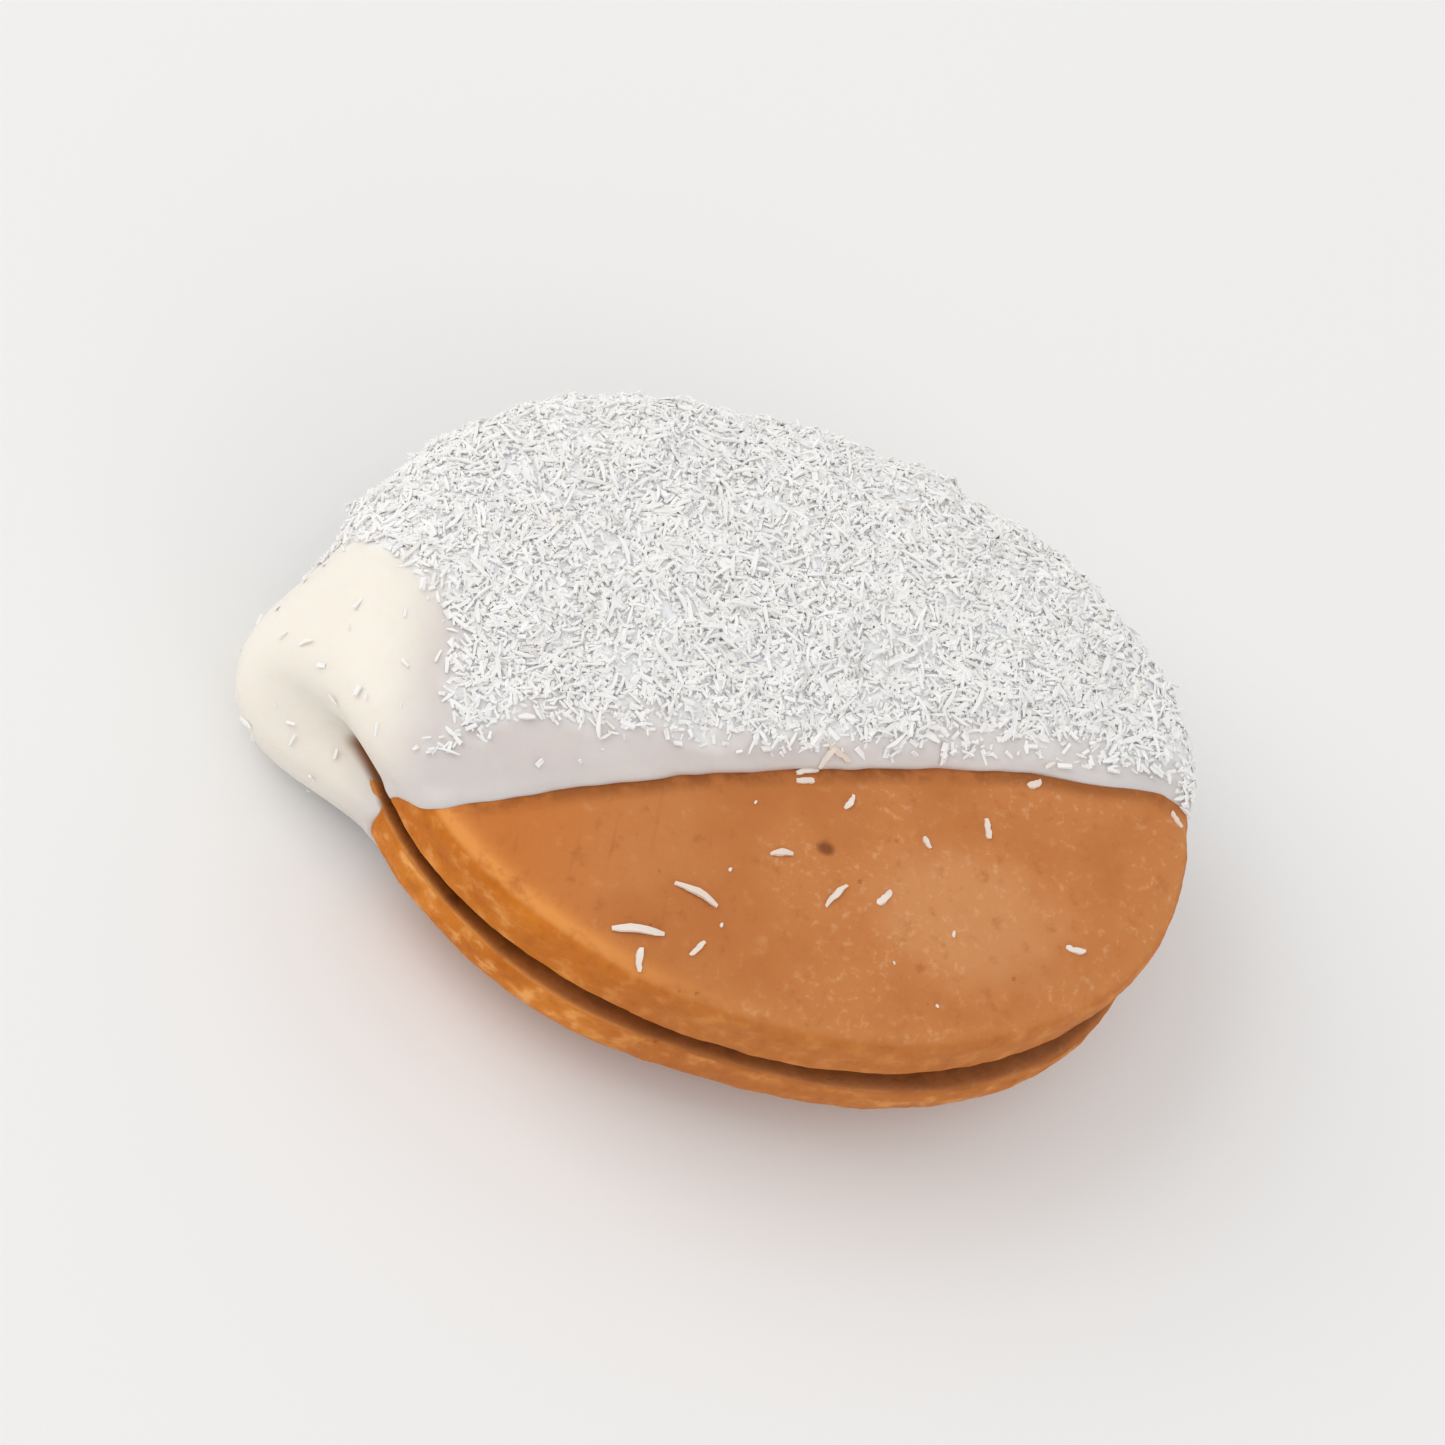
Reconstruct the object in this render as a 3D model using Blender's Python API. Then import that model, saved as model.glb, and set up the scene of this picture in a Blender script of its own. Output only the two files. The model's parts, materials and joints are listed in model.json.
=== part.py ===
"""Coconut petit four: two oval butter biscuits with a thin layer of jam between them. One long side is
dipped in white chocolate and rolled in desiccated coconut, and it lies on the flat underside of that coat.

Metres, +Z up. X runs along the biscuits and +Y points to the dipped side. The origin is the middle of
the footprint, on the surface that the petit four lies on. The shapes are worked out about the middle of
the sandwich, and an empty lifts them into place.
"""

import math
import random

import bmesh
import bpy
from mathutils import Matrix, Vector, noise
from mathutils.bvhtree import BVHTree

MM = 0.001

# Driving sizes.
BISCUIT_LENGTH = 46.0 * MM
BISCUIT_WIDTH = 34.4 * MM
BISCUIT_HEIGHT = 4.75 * MM
JAM_HEIGHT = 0.9 * MM
COAT_SIDE = 2.4 * MM  # how far the coat stands out round the edge, over the face and under the sandwich
COAT_ABOVE = 1.8 * MM
COAT_BELOW = 1.5 * MM
COAT_LEAN = 0.9 * MM  # the coat is thicker by this at its -X end and thinner at the other
BULGE_RISE = 3.4 * MM  # a smooth blob of chocolate stands out further round the seam at the -X end
DIP_LEVEL = -3.1 * MM  # where the dip line crosses the middle of the sandwich, along its width
DIP_SLANT = math.radians(2)  # the back was dipped a little deeper than the face
DIP_TURN = math.radians(21.7)  # the dip line runs askew to the long side
DIP_DROOP = 2.1 * MM  # it bends down towards both ends
CORNER_DROOP = 1.4 * MM  # and more round the corner at the +X end
NOTCH_DEPTH = 11.5 * MM  # at the -X end, the seam between the biscuits holds the chocolate back
FAR_NOTCH_DEPTH = 4.2 * MM  # and less so at the other end
SHRED_LENGTH = 3.0 * MM
SHRED_WIDTH = 0.70 * MM
SHRED_DEPTH = 0.50 * MM
SHRED_SPACING = 2.4 * MM

# Proportions.
OVAL_POWER = 2.15  # 2 is an ellipse, more is fuller at the corners
BISCUIT_POWER = 5.0  # how flat the faces are and how tight their edges
COAT_POWER = 3.2
CLEARANCE = 0.3 * MM
GAP = JAM_HEIGHT + 2 * CLEARANCE  # between the flat sides of the biscuits
FOOT_ROUND = 0.75 * MM  # rounding of the edge where a biscuit meets the jam
JAM_INSET = 1.0 * MM
JAM_SWELL = 0.35 * MM
LIP_THICKNESS = 0.40 * MM
LIP_WIDTH = 1.9 * MM  # the coat reaches full thickness this far from the dip line
UNDER_FULLNESS = 0.6 * MM  # the coat sags below its flat underside, before that is cut
UNDER_RIM = 0.75 * MM  # no shreds lie lower than this above the surface that it lies on
BULGE_MIDDLE = Vector((-26.3, -4.4, -1.2)) * MM
BULGE_RADIUS = 5.0 * MM
NOTCH_LEVEL = 0.4 * MM  # its middle is a little above the seam
NOTCH_HALF_HEIGHT = 3.3 * MM
NOTCH_POWER = 4  # 2 would give it a pointed outline, more makes it squarer
NOTCH_STARTS = 0.65  # shares of the half length
NOTCH_FULL = 0.95
CORNER_STARTS = 0.88  # also a share of the half length

# Unevenness of hand work.
OUTLINE_WOBBLE = 0.011  # share of the radius
OUTLINE_WAVES = ((2, 0.45), (3, 0.8), (5, 0.5), (8, 0.25))  # waves round the edge, and their strengths
FACE_WOBBLE = 0.12 * MM
FACE_WOBBLE_SIZE = 9.0 * MM
COAT_LUMP = 0.42 * MM
COAT_LUMP_SIZE = 3.6 * MM
UPPER_PHASE = 0.4  # sets one biscuit's wobble off from the other's
LOWER_PHASE = 2.1
LOWER_SHIFT = Vector((0.3, -0.4, 0)) * MM  # the lower biscuit isn't quite under the upper one
LOWER_TURN = math.radians(1.2)
SEED = 21

# Stray shreds on the bare face: place in millimetres, heading in degrees, share of the full length.
STRAYS = (
    (-3.6, -11.3, -12, 0.9),
    (-6.3, -14.4, 12, 1.0),
    (-2.9, -14.4, 60, 0.4),
    (-5.8, -15.9, 100, 0.45),
    (0.5, -7.4, 20, 0.45),
    (3.9, -8.8, 60, 0.65),
    (6.6, -8.0, 60, 0.4),
    (11.5, -2.0, 110, 0.4),
    (17.7, -7.1, 10, 0.4),
)

# Mesh resolution.
BISCUIT_COLUMNS = 56
CUTTER_COLUMNS = 44
COAT_COLUMNS = 72
COAT_ROWS = 17
ROW_CROWDING = 1.3  # rows lie closer together near the dip line
CAP_SHARE = 0.7  # a cap this far out from the middle closes the coat's mesh before it is hollowed
FACE_RADII = (1.0, 0.985, 0.955, 0.91, 0.84, 0.68, 0.38)  # shares of the outline, from edge to middle
SPOT_TRIES = 9000

HALF_LENGTH = BISCUIT_LENGTH / 2
HALF_WIDTH = BISCUIT_WIDTH / 2
HALF_HEIGHT = BISCUIT_HEIGHT + GAP / 2
FLOOR = -(HALF_HEIGHT + COAT_BELOW)
DIP_NORMAL = Vector((0, math.cos(DIP_SLANT), -math.sin(DIP_SLANT)))
DIP_NORMAL.rotate(Matrix.Rotation(DIP_TURN, 3, "Z"))
DIP_DISTANCE = DIP_LEVEL * DIP_NORMAL.y


def clear_scene():
    for obj in list(bpy.data.objects):
        bpy.data.objects.remove(obj)


def make_material(name, colour, roughness):
    material = bpy.data.materials.new(name)
    material.use_nodes = True
    shader = material.node_tree.nodes["Principled BSDF"]
    shader.inputs["Base Color"].default_value = (*colour, 1)
    shader.inputs["Roughness"].default_value = roughness
    shader.inputs["Metallic"].default_value = 0
    material.diffuse_color = (*colour, 1)
    return material


def clamp(value):
    return min(max(value, 0), 1)


def oval_radius(angle):
    """Distance from the middle of a biscuit to its edge, in one direction."""
    along = abs(math.cos(angle) / HALF_LENGTH) ** OVAL_POWER
    across = abs(math.sin(angle) / HALF_WIDTH) ** OVAL_POWER
    return (along + across) ** (-1 / OVAL_POWER)


def pillow_point(direction, half_sizes, power):
    """Where a ray from the middle of a pillow leaves it. The pillow is oval from above, and power sets
    how flat its faces are."""
    x, y, z = (abs(part / size) for part, size in zip(direction, half_sizes))
    plan = (x**OVAL_POWER + y**OVAL_POWER) ** (power / OVAL_POWER)
    return direction / (plan + z**power) ** (1 / power)


def skin(rings, pole=None):
    """A closed mesh through rings of points. A flat cap fills the first ring, and another the last one
    unless it runs to a pole."""
    mesh = bmesh.new()
    loops = [[mesh.verts.new(point) for point in ring] for ring in rings]
    count = len(loops[0])
    for lower, upper in zip(loops, loops[1:]):
        for i in range(count):
            j = (i + 1) % count
            mesh.faces.new((lower[i], lower[j], upper[j], upper[i]))
    mesh.faces.new(loops[0])
    if pole is None:
        mesh.faces.new(loops[-1])
    else:
        tip = mesh.verts.new(pole)
        for i in range(count):
            mesh.faces.new((loops[-1][i], loops[-1][(i + 1) % count], tip))
    bmesh.ops.recalc_face_normals(mesh, faces=mesh.faces)
    return mesh


def placed(mesh, matrix):
    mesh.transform(matrix)
    return mesh


def add_object(name, mesh, material=None):
    """An object of this bmesh, shaded smooth but for its sharp edges."""
    data = bpy.data.meshes.new(name)
    bmesh.ops.triangulate(mesh, faces=mesh.faces)
    mesh.to_mesh(data)
    mesh.free()
    data.shade_smooth()
    data.set_sharp_from_angle(angle=math.radians(50))
    if material:
        data.materials.append(material)
    obj = bpy.data.objects.new(name, data)
    bpy.context.scene.collection.objects.link(obj)
    return obj


def biscuit_mesh(phase, columns=BISCUIT_COLUMNS, extra=0.0):
    """One biscuit with its flat side down and its face up. extra makes it that much larger all round, for
    the cutter that hollows the coat."""
    base = GAP / 2 - extra
    tall = HALF_HEIGHT + extra
    foot = base + FOOT_ROUND

    def ring(height, share=1.0, inset=0.0):
        points = []
        for i in range(columns):
            angle = math.tau * i / columns
            wobble = sum(size * math.sin(n * (angle + phase)) for n, size in OUTLINE_WAVES)
            radius = oval_radius(angle) * (1 + OUTLINE_WOBBLE * wobble) + extra
            radius = radius * share - inset
            point = Vector((radius * math.cos(angle), radius * math.sin(angle), height))
            if height > foot:
                point.z += FACE_WOBBLE * noise.noise(point / FACE_WOBBLE_SIZE + Vector((phase, 0, 0)))
            points.append(point)
        return points

    rings = [ring(base, inset=0.95 * FOOT_ROUND), ring(base + 0.3 * FOOT_ROUND, inset=0.28 * FOOT_ROUND)]
    for share in FACE_RADII:
        height = tall * (1 - share**BISCUIT_POWER) ** (1 / BISCUIT_POWER)
        rings.append(ring(max(height, foot), share))
    return skin(rings, pole=Vector((0, 0, tall)))


def lower_place():
    """Where the lower biscuit lies: face down, a little off the upper one."""
    flip = Matrix.Rotation(math.pi, 4, "X")
    return Matrix.Translation(LOWER_SHIFT) @ Matrix.Rotation(LOWER_TURN, 4, "Z") @ flip


def jam_mesh(extra=0.0):
    """The layer of jam, with a rounded edge that swells and draws back."""
    half = JAM_HEIGHT / 2 + extra
    edge = ((0.45, -1.0), (0.08, -0.5), (0.0, 0.0), (0.08, 0.5), (0.45, 1.0))
    rings = []
    for inset, level in edge:
        points = []
        for i in range(CUTTER_COLUMNS):
            angle = math.tau * i / CUTTER_COLUMNS
            swell = JAM_SWELL * math.sin(7 * angle) * math.sin(3 * angle + 1)
            radius = oval_radius(angle) - JAM_INSET - inset * JAM_HEIGHT - swell + extra
            points.append(Vector((radius * math.cos(angle), radius * math.sin(angle), level * half)))
        rings.append(points)
    return skin(rings)


def above_dip(point):
    """How far a point lies on the coated side of the dip line. The line droops towards both ends, most
    round the +X corner, and is notched where it crosses the seam between the biscuits there."""
    out = abs(point.x) / HALF_LENGTH
    end = clamp((out - NOTCH_STARTS) / (NOTCH_FULL - NOTCH_STARTS))
    depth = NOTCH_DEPTH if point.x < 0 else FAR_NOTCH_DEPTH
    notch = depth * end * math.exp(-(((point.z - NOTCH_LEVEL) / NOTCH_HALF_HEIGHT) ** NOTCH_POWER))
    corner = clamp((point.x / HALF_LENGTH - CORNER_STARTS) / (1 - CORNER_STARTS))
    droop = DIP_DROOP * out**2 + CORNER_DROOP * corner
    return point.dot(DIP_NORMAL) - DIP_DISTANCE + droop - notch


def coat_direction(latitude, turn):
    """A direction from the middle of the sandwich, squashed as the sandwich is, so that even steps of
    latitude and turn give even steps over it. Latitude 90 degrees is the far tip of the coat."""
    along = Vector((1, 0, 0)) - DIP_NORMAL * DIP_NORMAL.x
    along.normalize()
    through = DIP_NORMAL.cross(along)
    unit = DIP_NORMAL * math.sin(latitude)
    unit += (along * math.cos(turn) + through * math.sin(turn)) * math.cos(latitude)
    return Vector((unit.x * HALF_LENGTH, unit.y * HALF_WIDTH, unit.z * HALF_HEIGHT))


def lip_point(direction):
    """The coat where it is thinnest, just clear of the biscuits."""
    extra = CLEARANCE + LIP_THICKNESS
    side = extra + LOWER_SHIFT.length / 2
    sizes = (HALF_LENGTH + side, HALF_WIDTH + side, HALF_HEIGHT + extra)
    return pillow_point(direction, sizes, BISCUIT_POWER)


def full_point(direction):
    """The coat where it is thickest: fuller at its -X end, with a blob there, and sagging underneath."""
    lean = COAT_LEAN if direction.x < 0 else -COAT_LEAN
    height = COAT_ABOVE if direction.z > 0 else COAT_BELOW + UNDER_FULLNESS
    sizes = (HALF_LENGTH + COAT_SIDE + lean, HALF_WIDTH + COAT_SIDE, HALF_HEIGHT + height)
    point = pillow_point(direction, sizes, COAT_POWER)
    far = (point - BULGE_MIDDLE).length / BULGE_RADIUS
    return point + point.normalized() * BULGE_RISE * math.exp(-(far**2))


def coat_point(direction):
    """The coat's outer surface: a round lip at the dip line, then full thickness with soft lumps."""
    lip = lip_point(direction)
    full = full_point(direction)
    share = clamp(above_dip(lip) / LIP_WIDTH)
    rounding = math.sqrt(1 - (1 - share) ** 2)
    lump = noise.noise(full / COAT_LUMP_SIZE) + 0.6 * noise.noise(full / (0.45 * COAT_LUMP_SIZE))
    return lip.lerp(full + full.normalized() * COAT_LUMP * lump, rounding)


def border_latitude(turn):
    """The latitude at which the lip of the coat meets the dip line, found by halving."""
    low, high = math.radians(-70), math.radians(80)
    for _ in range(40):
        middle = (low + high) / 2
        coated = above_dip(lip_point(coat_direction(middle, turn))) > 0
        low, high = (low, middle) if coated else (middle, high)
    return high


def coat_mesh():
    """The coat before it is hollowed: rows of points from the dip line to the far tip."""
    turns = [math.tau * i / COAT_COLUMNS for i in range(COAT_COLUMNS)]
    borders = [border_latitude(turn) for turn in turns]
    rings = []
    for row in range(COAT_ROWS):
        share = (row / COAT_ROWS) ** ROW_CROWDING
        ring = []
        for turn, border in zip(turns, borders):
            latitude = border + (math.pi / 2 - border) * share
            ring.append(coat_point(coat_direction(latitude, turn)))
        rings.append(ring)
    cap = [point * CAP_SHARE for point in rings[0]]
    return skin([cap, *rings], pole=coat_point(coat_direction(math.pi / 2, 0)))


def shred_mesh(draw, scale):
    """One shred of coconut: a sliver of three sides that bends and narrows towards its ends."""
    length = SHRED_LENGTH * scale
    width = SHRED_WIDTH * draw.uniform(0.85, 1.15)
    bend = draw.uniform(-0.2, 0.5) * MM * scale
    corners = ((-0.5, -0.4), (0.5, -0.4), (0.1, 0.6))
    rings = []
    for step, narrow in ((-0.5, 0.65), (0.0, 1.0), (0.5, 0.5)):
        middle = Vector((step * length, draw.uniform(-0.1, 0.1) * MM, bend * (1 - 4 * step**2)))
        rings.append([middle + Vector((0, y * width, z * SHRED_DEPTH)) * narrow for y, z in corners])
    return skin(rings)


def shred_place(spot, normal, heading, lift, sink):
    """A place on the surface: along it in this heading, with one end tipped up."""
    along = (heading - normal * heading.dot(normal)).normalized()
    frame = Matrix((along, normal.cross(along), normal)).transposed().to_4x4()
    return Matrix.Translation(spot - normal * sink) @ frame @ Matrix.Rotation(-lift, 4, "Y")


def coat_spots(draw):
    """Spots for shreds, spread evenly over the coat, thinning out towards its lip and clear of its
    flat underside."""
    mesh = coat_mesh()
    tree = BVHTree.FromBMesh(mesh)
    mesh.free()
    spots = []
    for _ in range(SPOT_TRIES):
        direction = coat_direction(math.asin(draw.uniform(-0.6, 1)), draw.uniform(0, math.tau))
        if above_dip(lip_point(direction)) < draw.uniform(1.4, 4.2) * MM:
            continue
        spot, normal, _, _ = tree.ray_cast(4 * direction, -direction)
        clear = all((spot - other).length > SHRED_SPACING for other, _ in spots)
        if clear and spot.z > FLOOR + UNDER_RIM:
            spots.append((spot, normal))
    return spots


def combine(target, meshes, operation):
    """Joins meshes to the target, or cuts them from it, with one Boolean on a collection."""
    helpers = bpy.data.collections.new("helpers")
    bpy.context.scene.collection.children.link(helpers)
    for mesh in meshes:
        helper = add_object("helper", mesh)
        bpy.context.scene.collection.objects.unlink(helper)
        helpers.objects.link(helper)
    modifier = target.modifiers.new("boolean", "BOOLEAN")
    modifier.operation = operation
    modifier.operand_type = "COLLECTION"
    modifier.collection = helpers
    modifier.solver = "EXACT"
    bpy.context.view_layer.update()
    graph = bpy.context.evaluated_depsgraph_get()
    result = bpy.data.meshes.new_from_object(target.evaluated_get(graph))
    target.modifiers.remove(modifier)
    target.data = result
    for helper in list(helpers.objects):
        bpy.data.objects.remove(helper)
    bpy.data.collections.remove(helpers)


def keep_largest_piece(obj):
    """Drops loose scraps and the walls of sealed hollows, and merges what the Booleans left too close."""
    mesh = bmesh.new()
    mesh.from_mesh(obj.data)
    bmesh.ops.remove_doubles(mesh, verts=mesh.verts, dist=0.002 * MM)
    bmesh.ops.dissolve_degenerate(mesh, edges=mesh.edges, dist=0.002 * MM)
    left = set(mesh.verts)
    islands = []
    while left:
        island = set()
        reached = [left.pop()]
        while reached:
            vert = reached.pop()
            island.add(vert)
            found = {edge.other_vert(vert) for edge in vert.link_edges} & left
            left -= found
            reached.extend(found)
        islands.append(island)
    islands.sort(key=len)
    loose = [vert for island in islands[:-1] for vert in island]
    bmesh.ops.delete(mesh, geom=loose, context="VERTS")
    bmesh.ops.triangulate(mesh, faces=mesh.faces)
    mesh.to_mesh(obj.data)
    mesh.free()


def build_upper_biscuit(material, draw):
    """The upper biscuit, with the stray shreds that fell on its bare face."""
    obj = add_object("biscuit_upper", biscuit_mesh(UPPER_PHASE), material)
    strays = []
    for x, y, degrees, scale in STRAYS:
        above = Vector((x * MM, y * MM, 2 * HALF_HEIGHT))
        _, spot, normal, _ = obj.ray_cast(above, Vector((0, 0, -1)))
        heading = Vector((math.cos(math.radians(degrees)), math.sin(math.radians(degrees)), 0))
        place = shred_place(spot, normal, heading, math.radians(draw.uniform(0, 5)), -0.08 * MM)
        strays.append(placed(shred_mesh(draw, scale), place))
    combine(obj, strays, "UNION")
    keep_largest_piece(obj)
    return obj


def build_lower_biscuit(material):
    return add_object("biscuit_lower", placed(biscuit_mesh(LOWER_PHASE), lower_place()), material)


def build_jam(material):
    return add_object("jam_filling", jam_mesh(), material)


def below_floor():
    """A block that fills everything below the surface the petit four lies on, as a cutter."""
    mesh = bmesh.new()
    size = 4 * HALF_LENGTH
    bmesh.ops.create_cube(mesh, size=size)
    return placed(mesh, Matrix.Translation((0, 0, FLOOR - size / 2)))


def build_coat(material, draw):
    """The coat with its shreds, hollowed for the sandwich and cut flat underneath."""
    obj = add_object("coconut_coat", coat_mesh(), material)
    shreds = []
    for spot, normal in coat_spots(draw):
        heading = Vector([draw.uniform(-1, 1) for _ in range(3)])
        lift = math.radians(draw.uniform(3, 26))
        scale = draw.uniform(0.7, 1.15)
        sink = 0.05 * MM - 0.3 * math.sin(lift) * SHRED_LENGTH * scale
        shreds.append(placed(shred_mesh(draw, scale), shred_place(spot, normal, heading, lift, sink)))
    combine(obj, shreds, "UNION")
    room = CLEARANCE + 0.08 * MM  # the cutters have fewer sides than the biscuits
    cutters = [
        biscuit_mesh(UPPER_PHASE, CUTTER_COLUMNS, room),
        placed(biscuit_mesh(LOWER_PHASE, CUTTER_COLUMNS, room), lower_place()),
        jam_mesh(CLEARANCE),
        below_floor(),
    ]
    combine(obj, cutters, "DIFFERENCE")
    keep_largest_piece(obj)
    print(len(shreds), "shreds on the coat")
    return obj


def lift_to_origin(pieces):
    """Parents the pieces to an empty that puts the middle of their footprint at the origin."""
    corners = [vert.co for piece in pieces for vert in piece.data.vertices]
    low = Vector([min(corner[axis] for corner in corners) for axis in range(3)])
    high = Vector([max(corner[axis] for corner in corners) for axis in range(3)])
    empty = bpy.data.objects.new("petit_four", None)
    bpy.context.scene.collection.objects.link(empty)
    empty.location = (-(low.x + high.x) / 2, -(low.y + high.y) / 2, -low.z)
    for piece in pieces:
        piece.parent = empty
    print("size in mm", [round(side / MM, 2) for side in high - low])
    print("middle of the sandwich in mm", [round(side / MM, 2) for side in empty.location])


def main():
    clear_scene()
    face_bake = make_material("baked_face", (0.56, 0.22, 0.07), 0.5)
    back_bake = make_material("baked_back", (0.50, 0.18, 0.05), 0.6)
    jam = make_material("apricot_jam", (0.40, 0.12, 0.015), 0.2)
    coconut = make_material("white_coconut", (0.86, 0.84, 0.80), 0.6)
    draw = random.Random(SEED)
    pieces = [
        build_upper_biscuit(face_bake, draw),
        build_lower_biscuit(back_bake),
        build_jam(jam),
        build_coat(coconut, draw),
    ]
    lift_to_origin(pieces)
    for piece in pieces:
        print(piece.name, len(piece.data.polygons), "triangles")


main()
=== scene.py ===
# %% [markdown]
# # A coconut petit four
#
# This petit four is two oval butter biscuits with jam between them. One long side was dipped in
# white chocolate and rolled in desiccated coconut. It lies on the flat underside of its coat, with the
# bare face of the upper biscuit up.
#
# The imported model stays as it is, and each of its four solids gets finer pieces of the same size in its
# stead. The shapes are worked out about the middle of the sandwich, and the jam is centred there, so the
# middle of the jam's box says where that is.

import json
import math
import random

import bpy
import numpy as np
from mathutils import Matrix, Vector, noise
from mathutils.bvhtree import BVHTree
from mathutils.kdtree import KDTree

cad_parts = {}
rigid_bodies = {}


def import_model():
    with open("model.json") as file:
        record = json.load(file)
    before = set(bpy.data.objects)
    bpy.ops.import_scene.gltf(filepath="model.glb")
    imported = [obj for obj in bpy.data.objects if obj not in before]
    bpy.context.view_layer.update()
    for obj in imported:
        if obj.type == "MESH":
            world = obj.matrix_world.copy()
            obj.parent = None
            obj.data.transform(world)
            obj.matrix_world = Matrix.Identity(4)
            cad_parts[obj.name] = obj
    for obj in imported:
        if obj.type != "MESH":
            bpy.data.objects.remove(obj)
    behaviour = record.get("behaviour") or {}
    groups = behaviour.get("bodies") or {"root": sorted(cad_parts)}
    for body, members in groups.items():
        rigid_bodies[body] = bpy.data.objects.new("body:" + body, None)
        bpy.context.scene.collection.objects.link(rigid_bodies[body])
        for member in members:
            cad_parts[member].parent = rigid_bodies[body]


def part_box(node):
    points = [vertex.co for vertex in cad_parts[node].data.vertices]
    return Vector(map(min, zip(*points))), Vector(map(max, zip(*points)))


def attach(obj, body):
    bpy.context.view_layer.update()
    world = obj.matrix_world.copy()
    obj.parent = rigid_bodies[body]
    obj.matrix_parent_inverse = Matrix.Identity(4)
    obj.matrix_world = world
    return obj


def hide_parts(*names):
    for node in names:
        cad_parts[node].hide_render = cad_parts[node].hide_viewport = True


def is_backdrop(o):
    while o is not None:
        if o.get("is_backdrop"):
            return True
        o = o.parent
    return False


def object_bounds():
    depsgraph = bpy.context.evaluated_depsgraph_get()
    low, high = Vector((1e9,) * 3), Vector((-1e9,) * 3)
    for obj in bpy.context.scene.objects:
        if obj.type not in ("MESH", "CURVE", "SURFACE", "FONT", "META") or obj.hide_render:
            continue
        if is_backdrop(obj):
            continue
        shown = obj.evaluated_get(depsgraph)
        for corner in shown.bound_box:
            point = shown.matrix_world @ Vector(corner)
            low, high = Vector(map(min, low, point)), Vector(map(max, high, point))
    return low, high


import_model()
CAD_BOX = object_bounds()

MM = 0.001
jam_low, jam_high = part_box("jam_filling")
MIDDLE = (jam_low + jam_high) / 2
FLOOR_LEVEL = CAD_BOX[0][2] - MIDDLE.z
print("middle of the sandwich in mm:", [round(side / MM, 2) for side in MIDDLE])

# %% [markdown]
# # Writing nodes as sums
#
# A material and a geometry tree are both graphs of nodes. They could be wired by hand, node by node, but
# a pattern such as "darker near the seam" is really a sum, and it reads best as one. So a small class
# wraps a socket and adds a Math node for each operator. All other nodes come from one method, which takes
# the node's type, its settings and what goes into its sockets.

# %% A socket that can stand in a sum
def methods(operation):
    """An operator's two methods, with the socket before the other value and after it."""
    return (
        lambda socket, value: socket.graph.math(operation, socket, value),
        lambda socket, value: socket.graph.math(operation, value, socket),
    )


class Field:
    """One output of a node."""

    __add__, __radd__ = methods("ADD")
    __sub__, __rsub__ = methods("SUBTRACT")
    __mul__, __rmul__ = methods("MULTIPLY")
    __truediv__, __rtruediv__ = methods("DIVIDE")
    __pow__, __rpow__ = methods("POWER")

    def __init__(self, graph, socket):
        self.graph = graph
        self.socket = socket

    def other(self, name):
        """Another output of the same node."""
        return Field(self.graph, self.socket.node.outputs[name])

    def __abs__(self):
        return self.graph.math("ABSOLUTE", self)


# %% A graph of nodes
class Graph:
    """A node tree that is written in Python expressions."""

    def __init__(self, tree):
        self.tree = tree

    def node(self, kind, settings=None, inputs=None, output=0):
        """Adds a node. Its settings come first, because they decide which sockets it has. Inputs and the
        output go by name or by number among the sockets in use."""
        node = self.tree.nodes.new(kind)
        for name, value in (settings or {}).items():
            setattr(node, name, value)
        for key, value in (inputs or {}).items():
            self.feed(self.find(node.inputs, key), value)
        if not node.outputs:
            return None
        return Field(self, self.find(node.outputs, output))

    def find(self, sockets, key):
        used = [socket for socket in sockets if socket.enabled]
        if isinstance(key, int):
            return used[key]
        return next(socket for socket in used if socket.name == key)

    def feed(self, socket, value):
        if isinstance(value, Field):
            self.tree.links.new(value.socket, socket)
        elif socket.type == "RGBA" and len(value) == 3:
            socket.default_value = (*value, 1.0)
        else:
            socket.default_value = value

    def math(self, operation, *values):
        return self.node("ShaderNodeMath", {"operation": operation}, dict(enumerate(values)))

    def vector(self, operation, *values):
        return self.node("ShaderNodeVectorMath", {"operation": operation}, dict(enumerate(values)))

    def step(self, value, low, high):
        """0 below low and 1 above high, with a soft step between. It falls where low is the larger."""
        settings = {"interpolation_type": "SMOOTHSTEP"}
        inputs = {"Value": value, "From Min": low, "From Max": high}
        return self.node("ShaderNodeMapRange", settings, inputs)

    def noise(self, place, size, detail=2.0, rough=0.5):
        """Soft random spots of this size, from 0 to 1."""
        inputs = {"Vector": place, "Scale": 1 / size, "Detail": detail, "Roughness": rough}
        return self.node("ShaderNodeTexNoise", {}, inputs)

    def split(self, vector):
        parts = self.node("ShaderNodeSeparateXYZ", {}, {0: vector})
        return parts, parts.other("Y"), parts.other("Z")

    def join(self, x, y, z):
        return self.node("ShaderNodeCombineXYZ", {}, {"X": x, "Y": y, "Z": z})

    def scaled(self, vector, factor):
        inputs = {0: vector, "Scale": factor}
        return self.node("ShaderNodeVectorMath", {"operation": "SCALE"}, inputs)


print("graph helpers ready")

# %% [markdown]
# # Growing a mesh with Geometry Nodes
#
# A geometry tree runs as a modifier, and its result is only there while the modifier is. Here each tree
# has named inputs for its sizes. They are set by the socket's identifier, the tree runs once, and the
# result is kept as a plain mesh with its place in its points.

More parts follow.
